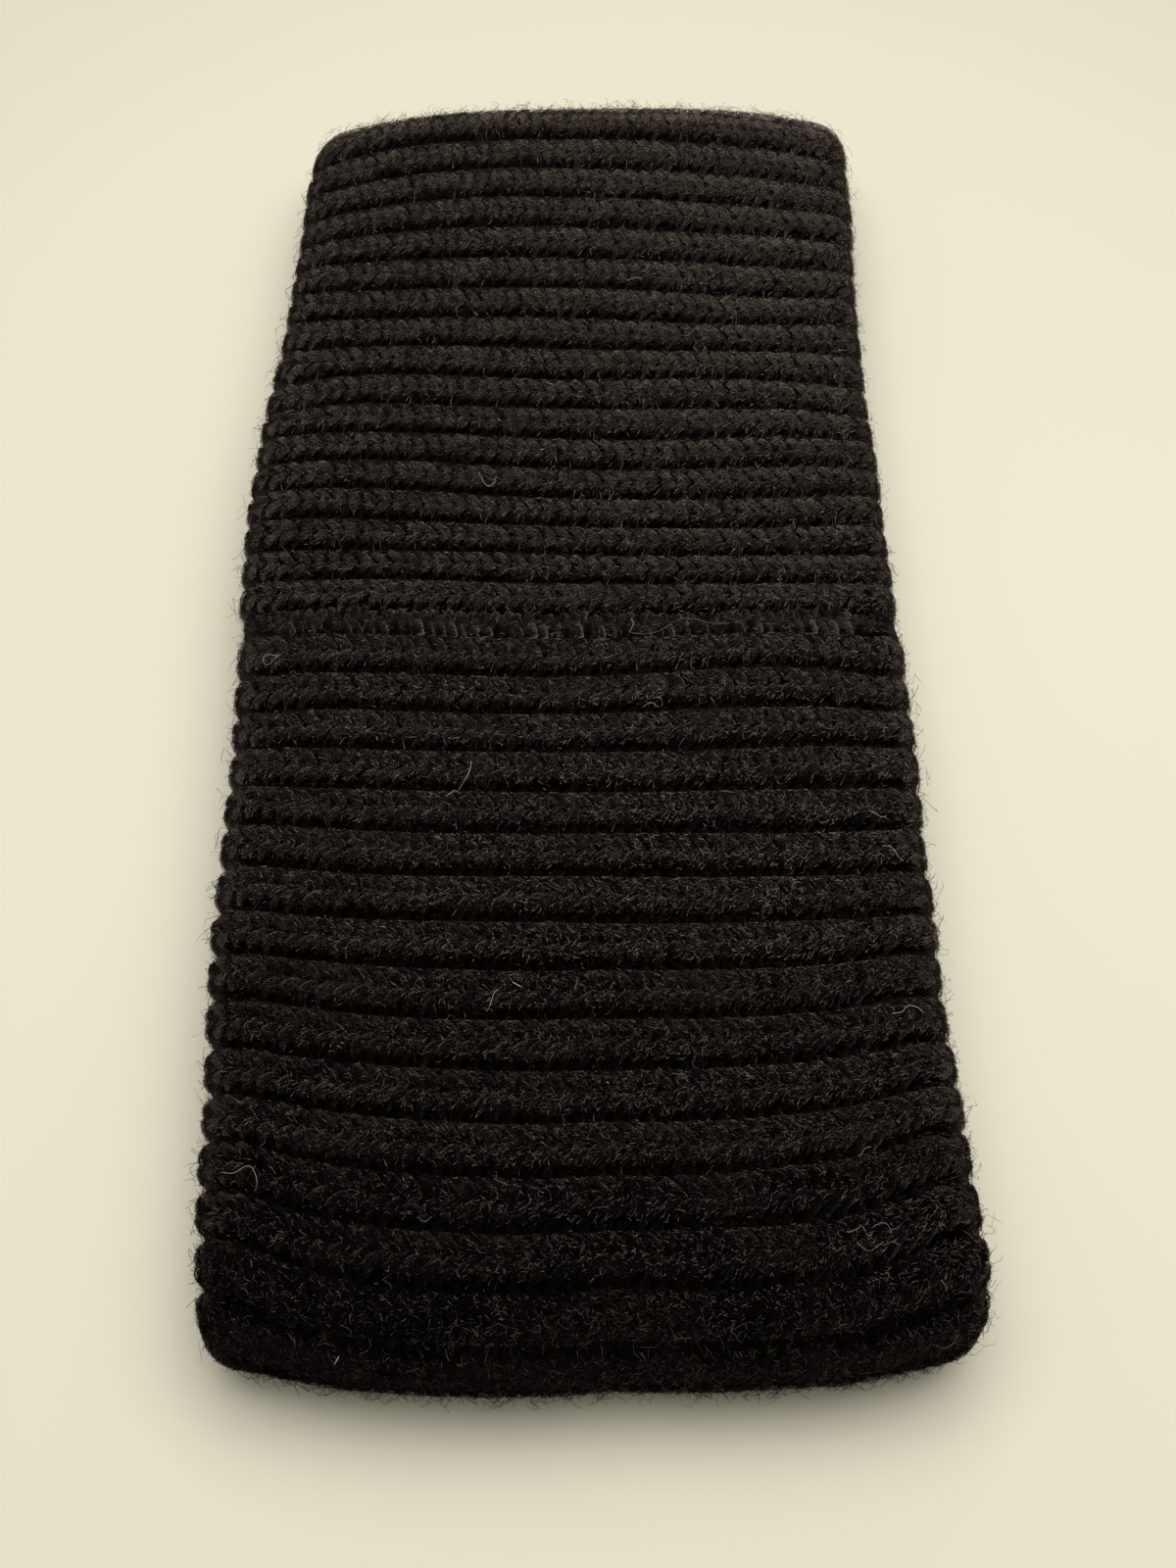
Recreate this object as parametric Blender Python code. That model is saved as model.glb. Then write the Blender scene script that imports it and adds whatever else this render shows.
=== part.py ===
# Rib-knit wool headband (ear warmer), a doubled band closed into a loop and laid flat.
# One knitted strip is folded over along both edges, so the band is two layers thick. Its two long
# edges meet inside the loop, where the closing yarn joins them, and its two ends meet on the upper
# face, where the join yarn is laced between them. Ribs run across the band and round its edges.
# Metres, +Z up, length along Y, the loop's opening along X. The origin is under the middle.

import math

import bpy
import bmesh
import numpy as np

# The band
LOOP_LENGTH = 0.238          # from fold to fold, laid flat
WIDTH_NEAR = 0.104           # edge to edge at the near fold and up to the join
WIDTH_FAR = 0.098            # edge to edge at the far fold
LAYER_THICKNESS = 0.0046     # one layer of knit, over its ribs
LAYER_GAP = 0.0004           # between the two layers of the doubled band
OPENING_HEIGHT = 0.0058      # the loop's opening as it lies, between upper and lower band
FOOT_FLAT = 0.0005           # how far the lowest ribs are pressed flat by what they lie on

# The folds at the two ends
BOW_LENGTH = 0.065           # the ribs begin to bow this far from each fold
BOW_NEAR = 0.0053            # how far the near fold bulges past its corners
BOW_FAR = 0.0055             # how far the far fold bulges past its corners
DROOP_NEAR = 0.0010          # how far the corners of the near fold hang below its middle
DROOP_FAR = 0.0040           # the same at the far fold
SWAY_NEAR = 0.0018           # how far the near fold lies to the right of the middle of the band
SWAY_FAR = 0.0028            # the same for the far fold

# The ribs
RIB_PITCH_NEAR_JOIN = 0.0067  # upper face, beside the join, on the near side
RIB_PITCH_NEAR_FOLD = 0.0081  # upper face, where it turns into the near fold
RIB_PITCH_FAR_JOIN = 0.0054   # upper face, beside the join, on the far side
RIB_PITCH_FAR_FOLD = 0.0080   # upper face, where it turns into the far fold
RIB_PITCH_UNDER = 0.0071      # lower face
RIB_DEPTH = 0.0018           # from a rib's crest down to the furrow beside it
CREST_START = 0.27           # where a rib's crest starts and ends, as shares of its pitch
CREST_END = 0.73

# The join across the upper face
JOIN_FROM_MIDDLE = -0.0014   # from the middle of the length towards the far fold
JOIN_GAP = 0.0006            # between the strip's two ends
JOIN_LIP = 0.0022            # the thin selvedge along each end
YARN_DIAMETER = 0.0014       # both sewing yarns
YARN_CLEARANCE = 0.0003      # round a sewing yarn
LACE_STEP = 0.0049           # along the join, for one turn of the lacing there and back
LACE_SWING = 0.0010          # how far the lacing swings to each side of the join
LACE_SINK = 0.0007           # how far the lacing lies below the ribs' crests

# How finely the shapes are cut up
EDGE_STEPS = 3               # round each folded edge
FACE_STEPS = 2               # from the middle of a face to the folded edge
LACE_POINTS = 4              # points of the lacing in one turn
CLOSING_STEP = 0.0045        # between points of the closing yarn
OUTLINE_POINTS = 201         # along the outline, to find its middle

# Worked out from the sizes above
BAND = 2 * LAYER_THICKNESS + LAYER_GAP
HEIGHT = 2 * BAND + OPENING_HEIGHT
FOLD_RADIUS = (HEIGHT - BAND) / 2                    # of the sheet midway between the layers
RUN = LOOP_LENGTH - HEIGHT                           # straight part between the two folds
KNIT_RADIUS = FOLD_RADIUS + (LAYER_GAP + LAYER_THICKNESS) / 2
HALF_TURN = math.pi * KNIT_RADIUS                    # length of the outer layer round one fold
AROUND = 2 * RUN + 2 * HALF_TURN                     # length of the outer layer round the loop
HALF_WIDTH = WIDTH_NEAR / 2
LAYER_MIDDLE = (LAYER_GAP + LAYER_THICKNESS) / 2     # from the sheet midway to a layer's middle
CLOSING_HALF = YARN_DIAMETER / 2 + YARN_CLEARANCE    # half the space between the long edges
GROOVE_DEPTH = LACE_SINK + YARN_DIAMETER + YARN_CLEARANCE
NEAR_RUN = RUN / 2 + JOIN_FROM_MIDDLE                # straight part from the join to each fold
FAR_RUN = RUN / 2 - JOIN_FROM_MIDDLE


def loop_frame(around):
    """Place and outward direction, in the Y-Z plane, of the sheet midway between the layers.

    `around` is the distance along the outer layer, from the join to the near fold, under the
    band to the far fold and back to the join.
    """
    under_start = NEAR_RUN + HALF_TURN
    far_start = under_start + RUN
    near_turn = np.clip((around - NEAR_RUN) / KNIT_RADIUS, 0, math.pi)
    far_turn = np.clip((around - far_start) / KNIT_RADIUS, 0, math.pi)
    turn = near_turn + far_turn
    top_out = np.clip(around, 0, NEAR_RUN)
    under = np.clip(around - under_start, 0, RUN)
    top_back = np.clip(around - far_start - HALF_TURN, 0, FAR_RUN)
    out_y, out_z = -np.sin(turn), np.cos(turn)
    y = JOIN_FROM_MIDDLE - top_out + under - top_back + FOLD_RADIUS * out_y
    z = HEIGHT / 2 + FOLD_RADIUS * out_z
    return y, z, out_y, out_z


def outline(y):
    """The band seen from above at `y`: its width as a share of the near one, and its sway."""
    share = np.clip(2 * y / LOOP_LENGTH, -1, 1)
    taper = np.clip(share, 0, 1)
    taper = taper * taper * (3 - 2 * taper)
    width = 1 - taper * (1 - WIDTH_FAR / WIDTH_NEAR)
    sway = np.where(y > 0, SWAY_FAR, SWAY_NEAR) * share ** 2
    return width, sway


def middle_across():
    """Where the middle of the outline lies across the band, halfway between its two sides."""
    width, sway = outline(np.linspace(-LOOP_LENGTH / 2, LOOP_LENGTH / 2, OUTLINE_POINTS))
    right = sway + HALF_WIDTH * width
    left = sway - HALF_WIDTH * width
    return (right.max() + left.min()) / 2


def laid_flat(x, y, z):
    """The band as it lies: narrower to the far end, folds bulging, corners drooping, foot flat."""
    reach = np.clip((np.abs(y) - LOOP_LENGTH / 2 + BOW_LENGTH) / BOW_LENGTH, 0, 1)
    far = y > 0
    across = x / HALF_WIDTH
    width, sway = outline(y)
    bow = np.where(far, -BOW_FAR, BOW_NEAR) * reach * across ** 2
    droop = np.where(far, DROOP_FAR, DROOP_NEAR) * reach * across ** 4 / HEIGHT
    return x * width + sway - MIDDLE, y + bow, np.maximum(z * (1 - droop) - FOOT_FLAT, 0)


def on_band(around, across, out):
    """A point of the band, from its distance round the loop, across the band and off its middle."""
    y, z, out_y, out_z = loop_frame(around)
    return np.stack(laid_flat(across, y + out * out_y, z + out * out_z), axis=-1)


def section(offset, start=CLOSING_HALF):
    """The folded strip cut across, as (across, out) pairs from one long edge round to the other.

    `offset` is the distance of the wanted skin from the sheet midway between the layers, and
    `start` the distance of its two ends from the middle of the inner face.
    """
    turn_at = HALF_WIDTH - BAND / 2
    inner = [(start + (turn_at - start) * i / FACE_STEPS, -offset) for i in range(FACE_STEPS)]
    corner = offset / math.cos(math.pi / (2 * EDGE_STEPS))
    angles = [math.pi * (i / EDGE_STEPS - 0.5) for i in range(1, EDGE_STEPS)]
    bend = [(turn_at + corner * math.cos(a), corner * math.sin(a)) for a in angles]
    edge = [(turn_at, -offset)] + bend + [(turn_at, offset)]
    outer = [(turn_at * (1 - i / FACE_STEPS), offset) for i in range(1, FACE_STEPS)]
    half = inner + edge + outer
    return half + [(0.0, offset)] + [(-x, out) for x, out in reversed(half)]


def spread_ribs(run, join_pitch, fold_pitch):
    """Ends of the ribs from the join to the nose of a fold, their pitch growing steadily."""
    length = run + HALF_TURN / 2 - JOIN_LIP
    count = round(2 * length / (join_pitch + fold_pitch))
    rib = np.arange(1, count + 1)
    return JOIN_LIP + join_pitch * rib + (fold_pitch - join_pitch) * rib ** 2 / (2 * count)


def rib_furrows():
    """Distances round the loop of the furrows between the ribs, from lip to lip of the join."""
    first, last = JOIN_LIP, AROUND - JOIN_LIP
    near = spread_ribs(NEAR_RUN, RIB_PITCH_NEAR_JOIN, RIB_PITCH_NEAR_FOLD)
    far = AROUND - spread_ribs(FAR_RUN, RIB_PITCH_FAR_JOIN, RIB_PITCH_FAR_FOLD)
    under_count = round((far[-1] - near[-1]) / RIB_PITCH_UNDER)
    under = np.linspace(near[-1], far[-1], under_count + 1)[1:-1]
    return np.concatenate([[first], near, under, far[::-1], [last]])


def knit_strip_mesh():
    """The folded strip: a ribbed skin outside, a plain skin between the layers, and four rims."""
    furrows = rib_furrows()
    starts, ends = furrows[:-1], furrows[1:]
    rising = starts + (ends - starts) * CREST_START
    falling = starts + (ends - starts) * CREST_END
    stations = np.stack([starts, rising, falling], axis=1).ravel()
    depths = np.tile([RIB_DEPTH, 0.0, 0.0], len(starts))
    depths[0] = GROOVE_DEPTH
    lip_end = AROUND - JOIN_GAP / 2
    stations = np.concatenate([[JOIN_GAP / 2], stations, [ends[-1], lip_end]])
    depths = np.concatenate([[GROOVE_DEPTH], depths, [GROOVE_DEPTH, GROOVE_DEPTH]])
    plain = np.concatenate([[JOIN_GAP / 2], furrows, [lip_end]])

    bm = bmesh.new()
    outside = [[bm.verts.new(on_band(at, x, out)) for x, out in section(BAND / 2 - depth)]
               for at, depth in zip(stations, depths)]
    between = [[bm.verts.new(on_band(at, x, out)) for x, out in section(LAYER_GAP / 2)]
               for at in plain]
    for rows in (outside, between):
        for row, following in zip(rows, rows[1:]):
            for a, b, c, d in zip(row, row[1:], following[1:], following):
                bm.faces.new((a, b, c, d))
    for end in (0, -1):
        rim, core = outside[end], between[end]
        for a, b, c, d in zip(rim, rim[1:], core[1:], core):
            bm.faces.new((a, b, c, d))
    row_of = {float(at): row for row, at in enumerate(stations)}
    for side in (0, -1):
        for i, (at, following) in enumerate(zip(plain, plain[1:])):
            rows = range(row_of[float(at)], row_of[float(following)] + 1)
            rim = [outside[r][side] for r in rows]
            bm.faces.new(rim + [between[i + 1][side], between[i][side]])
    bmesh.ops.recalc_face_normals(bm, faces=bm.faces)
    mesh = bpy.data.meshes.new("knit_strip")
    bm.to_mesh(mesh)
    bm.free()
    mesh.shade_smooth()
    return mesh


def material(name, colour, roughness):
    """Matt wool of one colour."""
    wool = bpy.data.materials.new(name)
    wool.use_nodes = True
    shader = wool.node_tree.nodes["Principled BSDF"]
    shader.inputs["Base Color"].default_value = (*colour, 1.0)
    shader.inputs["Roughness"].default_value = roughness
    shader.inputs["Metallic"].default_value = 0.0
    return wool


def add_object(name, data, wool):
    """A named object in the scene with its material."""
    data.materials.append(wool)
    piece = bpy.data.objects.new(name, data)
    bpy.context.scene.collection.objects.link(piece)
    return piece


def yarn_curve(name, points):
    """A round yarn through `points`, closed at both ends."""
    curve = bpy.data.curves.new(name, "CURVE")
    curve.dimensions = "3D"
    curve.bevel_depth = YARN_DIAMETER / 2
    curve.bevel_resolution = 1
    curve.use_fill_caps = True
    spline = curve.splines.new("POLY")
    spline.points.add(len(points) - 1)
    for point, place in zip(spline.points, points):
        point.co = (*place, 1.0)
    return curve


def join_lacing():
    """The join yarn: it swings from one selvedge to the other, all the way round the band."""
    offset = BAND / 2 - GROOVE_DEPTH + YARN_CLEARANCE + YARN_DIAMETER / 2
    path = np.array(section(offset, CLOSING_HALF + YARN_DIAMETER + YARN_CLEARANCE))
    steps = np.hypot(*np.diff(path, axis=0).T)
    length = np.concatenate([[0], np.cumsum(steps)])
    turns = round(length[-1] / LACE_STEP)
    share = np.linspace(0, 1, turns * LACE_POINTS + 1)
    swing = LACE_SWING * np.sin(2 * math.pi * turns * share)
    across = np.interp(share * length[-1], length, path[:, 0])
    out = np.interp(share * length[-1], length, path[:, 1])
    return on_band(swing % AROUND, across, out)


def closing_line():
    """The closing yarn: along the inside of the loop, between the strip's two long edges."""
    start = JOIN_LIP + YARN_CLEARANCE
    count = round((AROUND - 2 * start) / CLOSING_STEP)
    run = np.linspace(start, AROUND - start, count + 1)
    return on_band(run, np.zeros_like(run), np.full_like(run, -LAYER_MIDDLE))


MIDDLE = middle_across()

for old in list(bpy.data.objects):
    bpy.data.objects.remove(old, do_unlink=True)

headband = bpy.data.objects.new("headband", None)
bpy.context.scene.collection.objects.link(headband)

pieces = [
    add_object("knit_strip", knit_strip_mesh(), material("black_wool", (0.014, 0.013, 0.012), 0.95)),
    add_object("join_yarn", yarn_curve("join_yarn", join_lacing()),
               material("join_wool", (0.012, 0.011, 0.011), 0.95)),
    add_object("closing_yarn", yarn_curve("closing_yarn", closing_line()),
               material("closing_wool", (0.012, 0.011, 0.011), 0.95)),
]
for piece in pieces:
    piece.parent = headband
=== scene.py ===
import math

import bpy
import numpy as np
from mathutils import Matrix, Vector


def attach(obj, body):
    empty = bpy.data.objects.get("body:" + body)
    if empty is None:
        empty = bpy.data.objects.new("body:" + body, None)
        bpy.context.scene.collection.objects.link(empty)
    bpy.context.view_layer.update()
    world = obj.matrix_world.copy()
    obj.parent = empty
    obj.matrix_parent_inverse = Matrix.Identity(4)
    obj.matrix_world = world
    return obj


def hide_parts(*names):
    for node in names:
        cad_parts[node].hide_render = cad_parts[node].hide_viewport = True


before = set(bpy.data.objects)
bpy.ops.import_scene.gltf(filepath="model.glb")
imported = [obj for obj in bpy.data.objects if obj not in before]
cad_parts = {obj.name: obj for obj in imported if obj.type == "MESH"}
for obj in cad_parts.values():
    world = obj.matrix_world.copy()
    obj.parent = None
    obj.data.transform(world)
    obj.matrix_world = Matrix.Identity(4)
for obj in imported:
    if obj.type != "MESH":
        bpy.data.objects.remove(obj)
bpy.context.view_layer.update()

# Rib-knit wool headband laid flat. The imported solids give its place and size, and the pieces here are
# its yarn: stitch legs, purl bars, the lacing of the join, the closing yarn, and the fuzz of the wool.
# A place on the knitted strip has three numbers: the distance round the loop from the join, the distance
# along a rib from the middle of the outer face, and the distance out from between the two layers.

# sizes of the band as it lies, in metres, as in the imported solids
band = {
    "loopLength": 0.238, "widthNear": 0.104, "widthFar": 0.098,
    "layer": 0.0046, "layerGap": 0.0004, "opening": 0.0058, "footFlat": 0.0005,
    "bowLength": 0.065, "bowNear": 0.0053, "bowFar": 0.0055,
    "droopNear": 0.0010, "droopFar": 0.0040, "swayNear": 0.0018, "swayFar": 0.0028,
    "pitchNearJoin": 0.0067, "pitchNearFold": 0.0081,
    "pitchFarJoin": 0.0054, "pitchFarFold": 0.0080, "pitchUnder": 0.0071,
    "ribDepth": 0.0018, "joinFromMiddle": -0.0014, "joinGap": 0.0006, "joinLip": 0.0022,
    "sewingYarn": 0.0014, "clearance": 0.0003, "laceStep": 0.0049, "laceSwing": 0.0010, "laceSink": 0.0007,
    "edgeRadius": 0.0039,
}

bandThick = 2 * band["layer"] + band["layerGap"]
height = 2 * bandThick + band["opening"]
foldRadius = (height - bandThick) / 2
run = band["loopLength"] - height
knitRadius = foldRadius + (band["layerGap"] + band["layer"]) / 2
halfTurn = math.pi * knitRadius
loopAround = 2 * run + 2 * halfTurn
nearRun = run / 2 + band["joinFromMiddle"]
farRun = run / 2 - band["joinFromMiddle"]
halfWidth = band["widthNear"] / 2
crest = bandThick / 2
turnAt = halfWidth - crest
edgeArc = math.pi * band["edgeRadius"]
closingHalf = band["sewingYarn"] / 2 + band["clearance"]
stripHalf = 2 * turnAt + edgeArc - closingHalf
outerHalf = turnAt + edgeArc


def smooth(share):
    # from nought to one, level at both ends: three times the square less twice the cube
    share = np.clip(share, 0, 1)
    return share * share * (3 - 2 * share)


def loopFrame(around):
    # place and outward direction of the sheet between the layers: straight, half turn, straight, half turn
    underStart = nearRun + halfTurn
    farStart = underStart + run
    turn = (np.clip((around - nearRun) / knitRadius, 0, math.pi)
            + np.clip((around - farStart) / knitRadius, 0, math.pi))
    ahead = (np.clip(around - underStart, 0, run) - np.clip(around, 0, nearRun)
             - np.clip(around - farStart - halfTurn, 0, farRun))
    outY, outZ = -np.sin(turn), np.cos(turn)
    return band["joinFromMiddle"] + ahead + foldRadius * outY, height / 2 + foldRadius * outZ, outY, outZ


def outline(y):
    # width as a share of the near one, easing to the far width, and sideways sway growing as length squared
    share = np.clip(2 * y / band["loopLength"], -1, 1)
    sway = np.where(y > 0, band["swayFar"], band["swayNear"]) * share ** 2
    return 1 - smooth(share) * (1 - band["widthFar"] / band["widthNear"]), sway


def middleAcross():
    # halfway between the outline's leftmost and rightmost points
    width, sway = outline(np.linspace(-band["loopLength"] / 2, band["loopLength"] / 2, 201))
    return ((sway + halfWidth * width).max() + (sway - halfWidth * width).min()) / 2


middle = middleAcross()


# how the band happens to lie, in millimetres: its two edges stray outwards at these places along it,
# the near fold is a little pushed in, and the far fold bulges less at its right
lay = {
    "place": (-105, -90, -70, -55, -42, -20, -5, -1, 8, 28, 40, 58, 75, 95, 110),
    "left": (0.1, 0.5, 0.65, 0.9, 0.0, 0.0, 0.35, 0.8, 0.7, 0.8, 0.3, -0.4, -0.5, 0.0, 0.0),
    "right": (1.2, 0.9, 0.45, 0.3, 0.2, 0.7, 0.85, 0.1, 0.1, -0.25, -0.35, -0.1, 0.9, 1.5, 1.5),
    "across": (-1.0, -0.85, -0.65, -0.3, -0.1, 0.05, 0.3, 0.5, 0.65, 0.8, 1.0),
    "pushedIn": (1.0, 1.2, 0.7, 1.0, 1.2, 1.9, 1.2, 0.8, 0.2, 0.5, 1.0),
    "eased": 1.3, "leaned": 1.7,
}


def laidFlat(x, y, z):
    # the folds bulge as across squared, the corners droop as across to the fourth, the foot is cut off flat
    reach = np.clip((np.abs(y) - band["loopLength"] / 2 + band["bowLength"]) / band["bowLength"], 0, 1)
    far = y > 0
    across = x / halfWidth
    width, sway = outline(y)
    near = band["bowNear"] * across ** 2 + np.interp(across, lay["across"], lay["pushedIn"]) / 1000
    eased = np.where(x > 0, lay["eased"] * across ** 2 + lay["leaned"] * across, 0) / 1000
    bow = np.where(far, eased - band["bowFar"] * across ** 2, near) * reach
    droop = np.where(far, band["droopFar"], band["droopNear"]) * reach * across ** 4 / height
    stray = np.where(x > 0, np.interp(y * 1000, lay["place"], lay["right"]),
                     -np.interp(y * 1000, lay["place"], lay["left"])) / 1000
    sideways = x * width + sway - middle + stray * across ** 2
    return sideways, y + bow, np.maximum(z * (1 - droop) - band["footFlat"], 0)


# slow waves that keep any rib from being ruler straight: the strength of each, its whole number of turns
# round the loop, its turn for each metre along the ribs, and its start
slowWaves = {
    "shift": 0.00010, "shiftWaves": ((1.0, 5, 40, 0.7), (0.8, 11, -75, 2.1), (0.6, 23, 140, 4.4)),
    "lift": 0.00016, "liftWaves": ((1.0, 7, -55, 1.3), (0.8, 17, 95, 4.0)),
}

# how far the ribs of the laid band have slid towards its near end, in millimetres: a row of five places
# across the band for each place round the loop from the join
drift = {
    "around": (-135, -105, -88, -72, -60, -47, -34, -22, -10, 9, 19, 33, 48, 62, 77, 93, 105, 135),
    "across": (-1.0, -0.5, 0.0, 0.5, 1.0), "unit": 0.040, "limit": 1.15,
    "slide": (
        (0.0, 0.0, 0.0, 0.0, 0.0), (2.0, 0.8, 1.1, 1.9, 2.7), (2.1, 0.8, 0.5, 1.3, 2.4),
        (0.8, 1.1, 1.5, 2.4, 2.8), (1.1, 0.9, 1.5, 2.4, 2.8), (1.3, 0.6, 1.6, 1.8, 2.5),
        (0.1, 0.9, 1.9, 1.6, 1.3), (-0.1, 0.6, 1.8, 2.1, 1.3), (0.7, 0.9, 1.4, 1.5, 1.3),
        (1.1, 1.6, 1.9, 0.8, 0.8), (0.6, 1.2, 1.9, 1.1, 0.6), (0.3, 0.9, 1.1, 1.5, 1.4),
        (-0.4, 0.8, 1.0, 1.1, 1.0), (-0.5, 1.3, 1.7, 1.5, 0.0), (-0.1, 1.3, 1.9, 1.6, -0.3),
        (-0.3, 1.5, 1.5, 1.1, -0.9), (-0.8, 1.3, 1.3, 1.4, -0.5), (0.0, 0.0, 0.0, 0.0, 0.0),
    ),
}
driftCurves = np.linalg.solve(np.vander(drift["across"]), np.array(drift["slide"]).T / 1000)


def waveSum(waves, angle, along):
    # sines added up, each of its turns times the angle round the loop plus its rate times the way along
    return sum(strength * np.sin(turns * angle + rate * along + start)
               for strength, turns, rate, start in waves)


def wander(around, along):
    # a curve of the fourth degree across the band, its five numbers read off round the loop, and slow waves
    angle = 2 * math.pi * around / loopAround
    fromJoin = 1000 * (np.mod(around + loopAround / 2, loopAround) - loopAround / 2)
    across = np.clip(along / drift["unit"], -drift["limit"], drift["limit"])
    slide = 0
    for curve in driftCurves:
        slide = slide * across + np.interp(fromJoin, drift["around"], curve)
    shift = slowWaves["shift"] * waveSum(slowWaves["shiftWaves"], angle, along)
    return shift + slide, slowWaves["lift"] * waveSum(slowWaves["liftWaves"], angle, along)


def stripPoint(around, along, out):
    # a rib runs flat to the folded edge, half a circle round it, and flat again on the inner face
    shift, lift = wander(around, along)
    reach = np.abs(along)
    turn = np.clip((reach - turnAt) / band["edgeRadius"], 0, math.pi)
    back = np.maximum(reach - outerHalf, 0)
    out = out + lift
    across = np.sign(along) * (np.minimum(reach, turnAt) - back + out * np.sin(turn))
    y, z, outY, outZ = loopFrame(np.mod(around + shift, loopAround))
    outward = out * np.cos(turn)
    return np.stack(laidFlat(across, y + outward * outY, z + outward * outZ), axis=-1)


def spreadRibs(length, joinPitch, foldPitch):
    # ends of the ribs from the join to the nose of a fold, their pitch growing steadily
    length = length + halfTurn / 2 - band["joinLip"]
    count = round(2 * length / (joinPitch + foldPitch))
    rib = np.arange(1, count + 1)
    return band["joinLip"] + joinPitch * rib + (foldPitch - joinPitch) * rib ** 2 / (2 * count)


def ribFurrows():
    # furrows between the ribs, from lip to lip of the join, evenly spaced under the band
    near = spreadRibs(nearRun, band["pitchNearJoin"], band["pitchNearFold"])
    far = loopAround - spreadRibs(farRun, band["pitchFarJoin"], band["pitchFarFold"])
    count = round((far[-1] - near[-1]) / band["pitchUnder"])
    under = np.linspace(near[-1], far[-1], count + 1)[1:-1]
    lips = [band["joinLip"]], [loopAround - band["joinLip"]]
    return np.concatenate([lips[0], near, under, far[::-1], lips[1]]), len(near), len(far)


furrows, nearRibs, farRibs = ribFurrows()
ribFrom, ribTo = furrows[:-1], furrows[1:]
ribWide = ribTo - ribFrom
ribCount = len(ribFrom)
topRibs = np.concatenate([np.arange(nearRibs + 1), np.arange(ribCount - farRibs - 1, ribCount)])
underRibs = np.setdiff1d(np.arange(ribCount), topRibs)

# pairs are for the left edge and the right
ridge = {
    "rowAt": 0.20, "rowHalf": 0.20, "rowDip": 0.0005, "drop": 0.33, "edgeDrop": 0.10, "join": 0.0009,
    "joinShare": 0.3, "lastShare": 0.6, "lipSlope": 0.0012, "turnBefore": 0.004, "turnLong": 0.006,
    "edgeShallow": (0.66, 0.87), "edgeRows": (0.15, 0.65), "tilt": 0.08, "facingStep": 0.0003,
}


def edgeTurned(along):
    # nought on the flat of the outer face, rising to one where a rib has turned over the folded edge
    return np.clip((np.abs(along) - turnAt + ridge["turnBefore"]) / ridge["turnLong"], 0, 1)


def ribFallen(offset, along, depth):
    # how far a rib is below its crest at this share of its width from its middle: two rows, each a
    # parabola, and an eased drop into the furrow, rounder and shallower where the rib turns over the edge
    turned = edgeTurned(along)
    right = (along > 0).astype(int)
    shallow, even = (np.array(ridge[key])[right] * turned for key in ("edgeShallow", "edgeRows"))
    rows = ridge["rowDip"] * (1 - even) * np.clip(((offset - ridge["rowAt"]) / ridge["rowHalf"]) ** 2, 0, 1)
    start = ridge["drop"] + (ridge["edgeDrop"] - ridge["drop"]) * turned
    return rows + depth * (1 - shallow) * smooth((offset - start) / (0.5 - start))


def furrowDepth(rib, after):
    # the first rib on the near side runs on into the join with hardly a furrow, the last with a shallow one
    share = np.where((rib == 0) & ~after, ridge["joinShare"], 1.0)
    return band["ribDepth"] * np.where((rib == ribCount - 1) & after, ridge["lastShare"], share)


def ridgeOut(around, along):
    # height of the skin of the knit: crest less the rib's fall, and level over the join, with eased slopes
    around = np.mod(around, loopAround)
    rib = np.clip(np.searchsorted(furrows, around) - 1, 0, ribCount - 1)
    offset = np.clip((around - ribFrom[rib]) / ribWide[rib], 0, 1) - 0.5
    fromJoin = np.minimum(around, loopAround - around)
    fallen = ribFallen(np.abs(offset), along, furrowDepth(rib, offset > 0))
    level = smooth((band["joinLip"] - fromJoin) / ridge["lipSlope"])
    return crest - fallen - (ridge["join"] - fallen) * level


def ridgePoint(around, along):
    # place on the skin of the knit
    return stripPoint(around, along, ridgeOut(around, along))


def unit(ways):
    # the same ways, one long
    return ways / np.maximum(np.linalg.norm(ways, axis=-1, keepdims=True), 1e-12)


def levelFacing(around, along):
    # way the cloth faces, its ribs left out
    return unit(stripPoint(around, along, crest + ridge["facingStep"]) - stripPoint(around, along, crest))


def ridgeFacing(around, along):
    # way the cloth faces, tilted part of the way to the slopes of its ribs
    step = ridge["facingStep"]
    forward = ridgePoint(around + step, along) - ridgePoint(around - step, along)
    sideways = ridgePoint(around, along + step) - ridgePoint(around, along - step)
    slope = unit(np.cross(forward, sideways))
    return unit((1 - ridge["tilt"]) * levelFacing(around, along) + ridge["tilt"] * slope)


# meshes from whole arrays

def softenNormals(mesh, facing, share):
    # shading turned by this share from the yarn's own roundness to the way the cloth faces, as fuzz does
    own = np.empty(3 * len(mesh.vertices), np.float32)
    mesh.vertices.foreach_get("normal", own)
    mixed = (1 - share) * own.reshape(-1, 3) + share * facing.reshape(-1, 3)
    mesh.normals_split_custom_set_from_vertices(unit(mixed))


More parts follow.
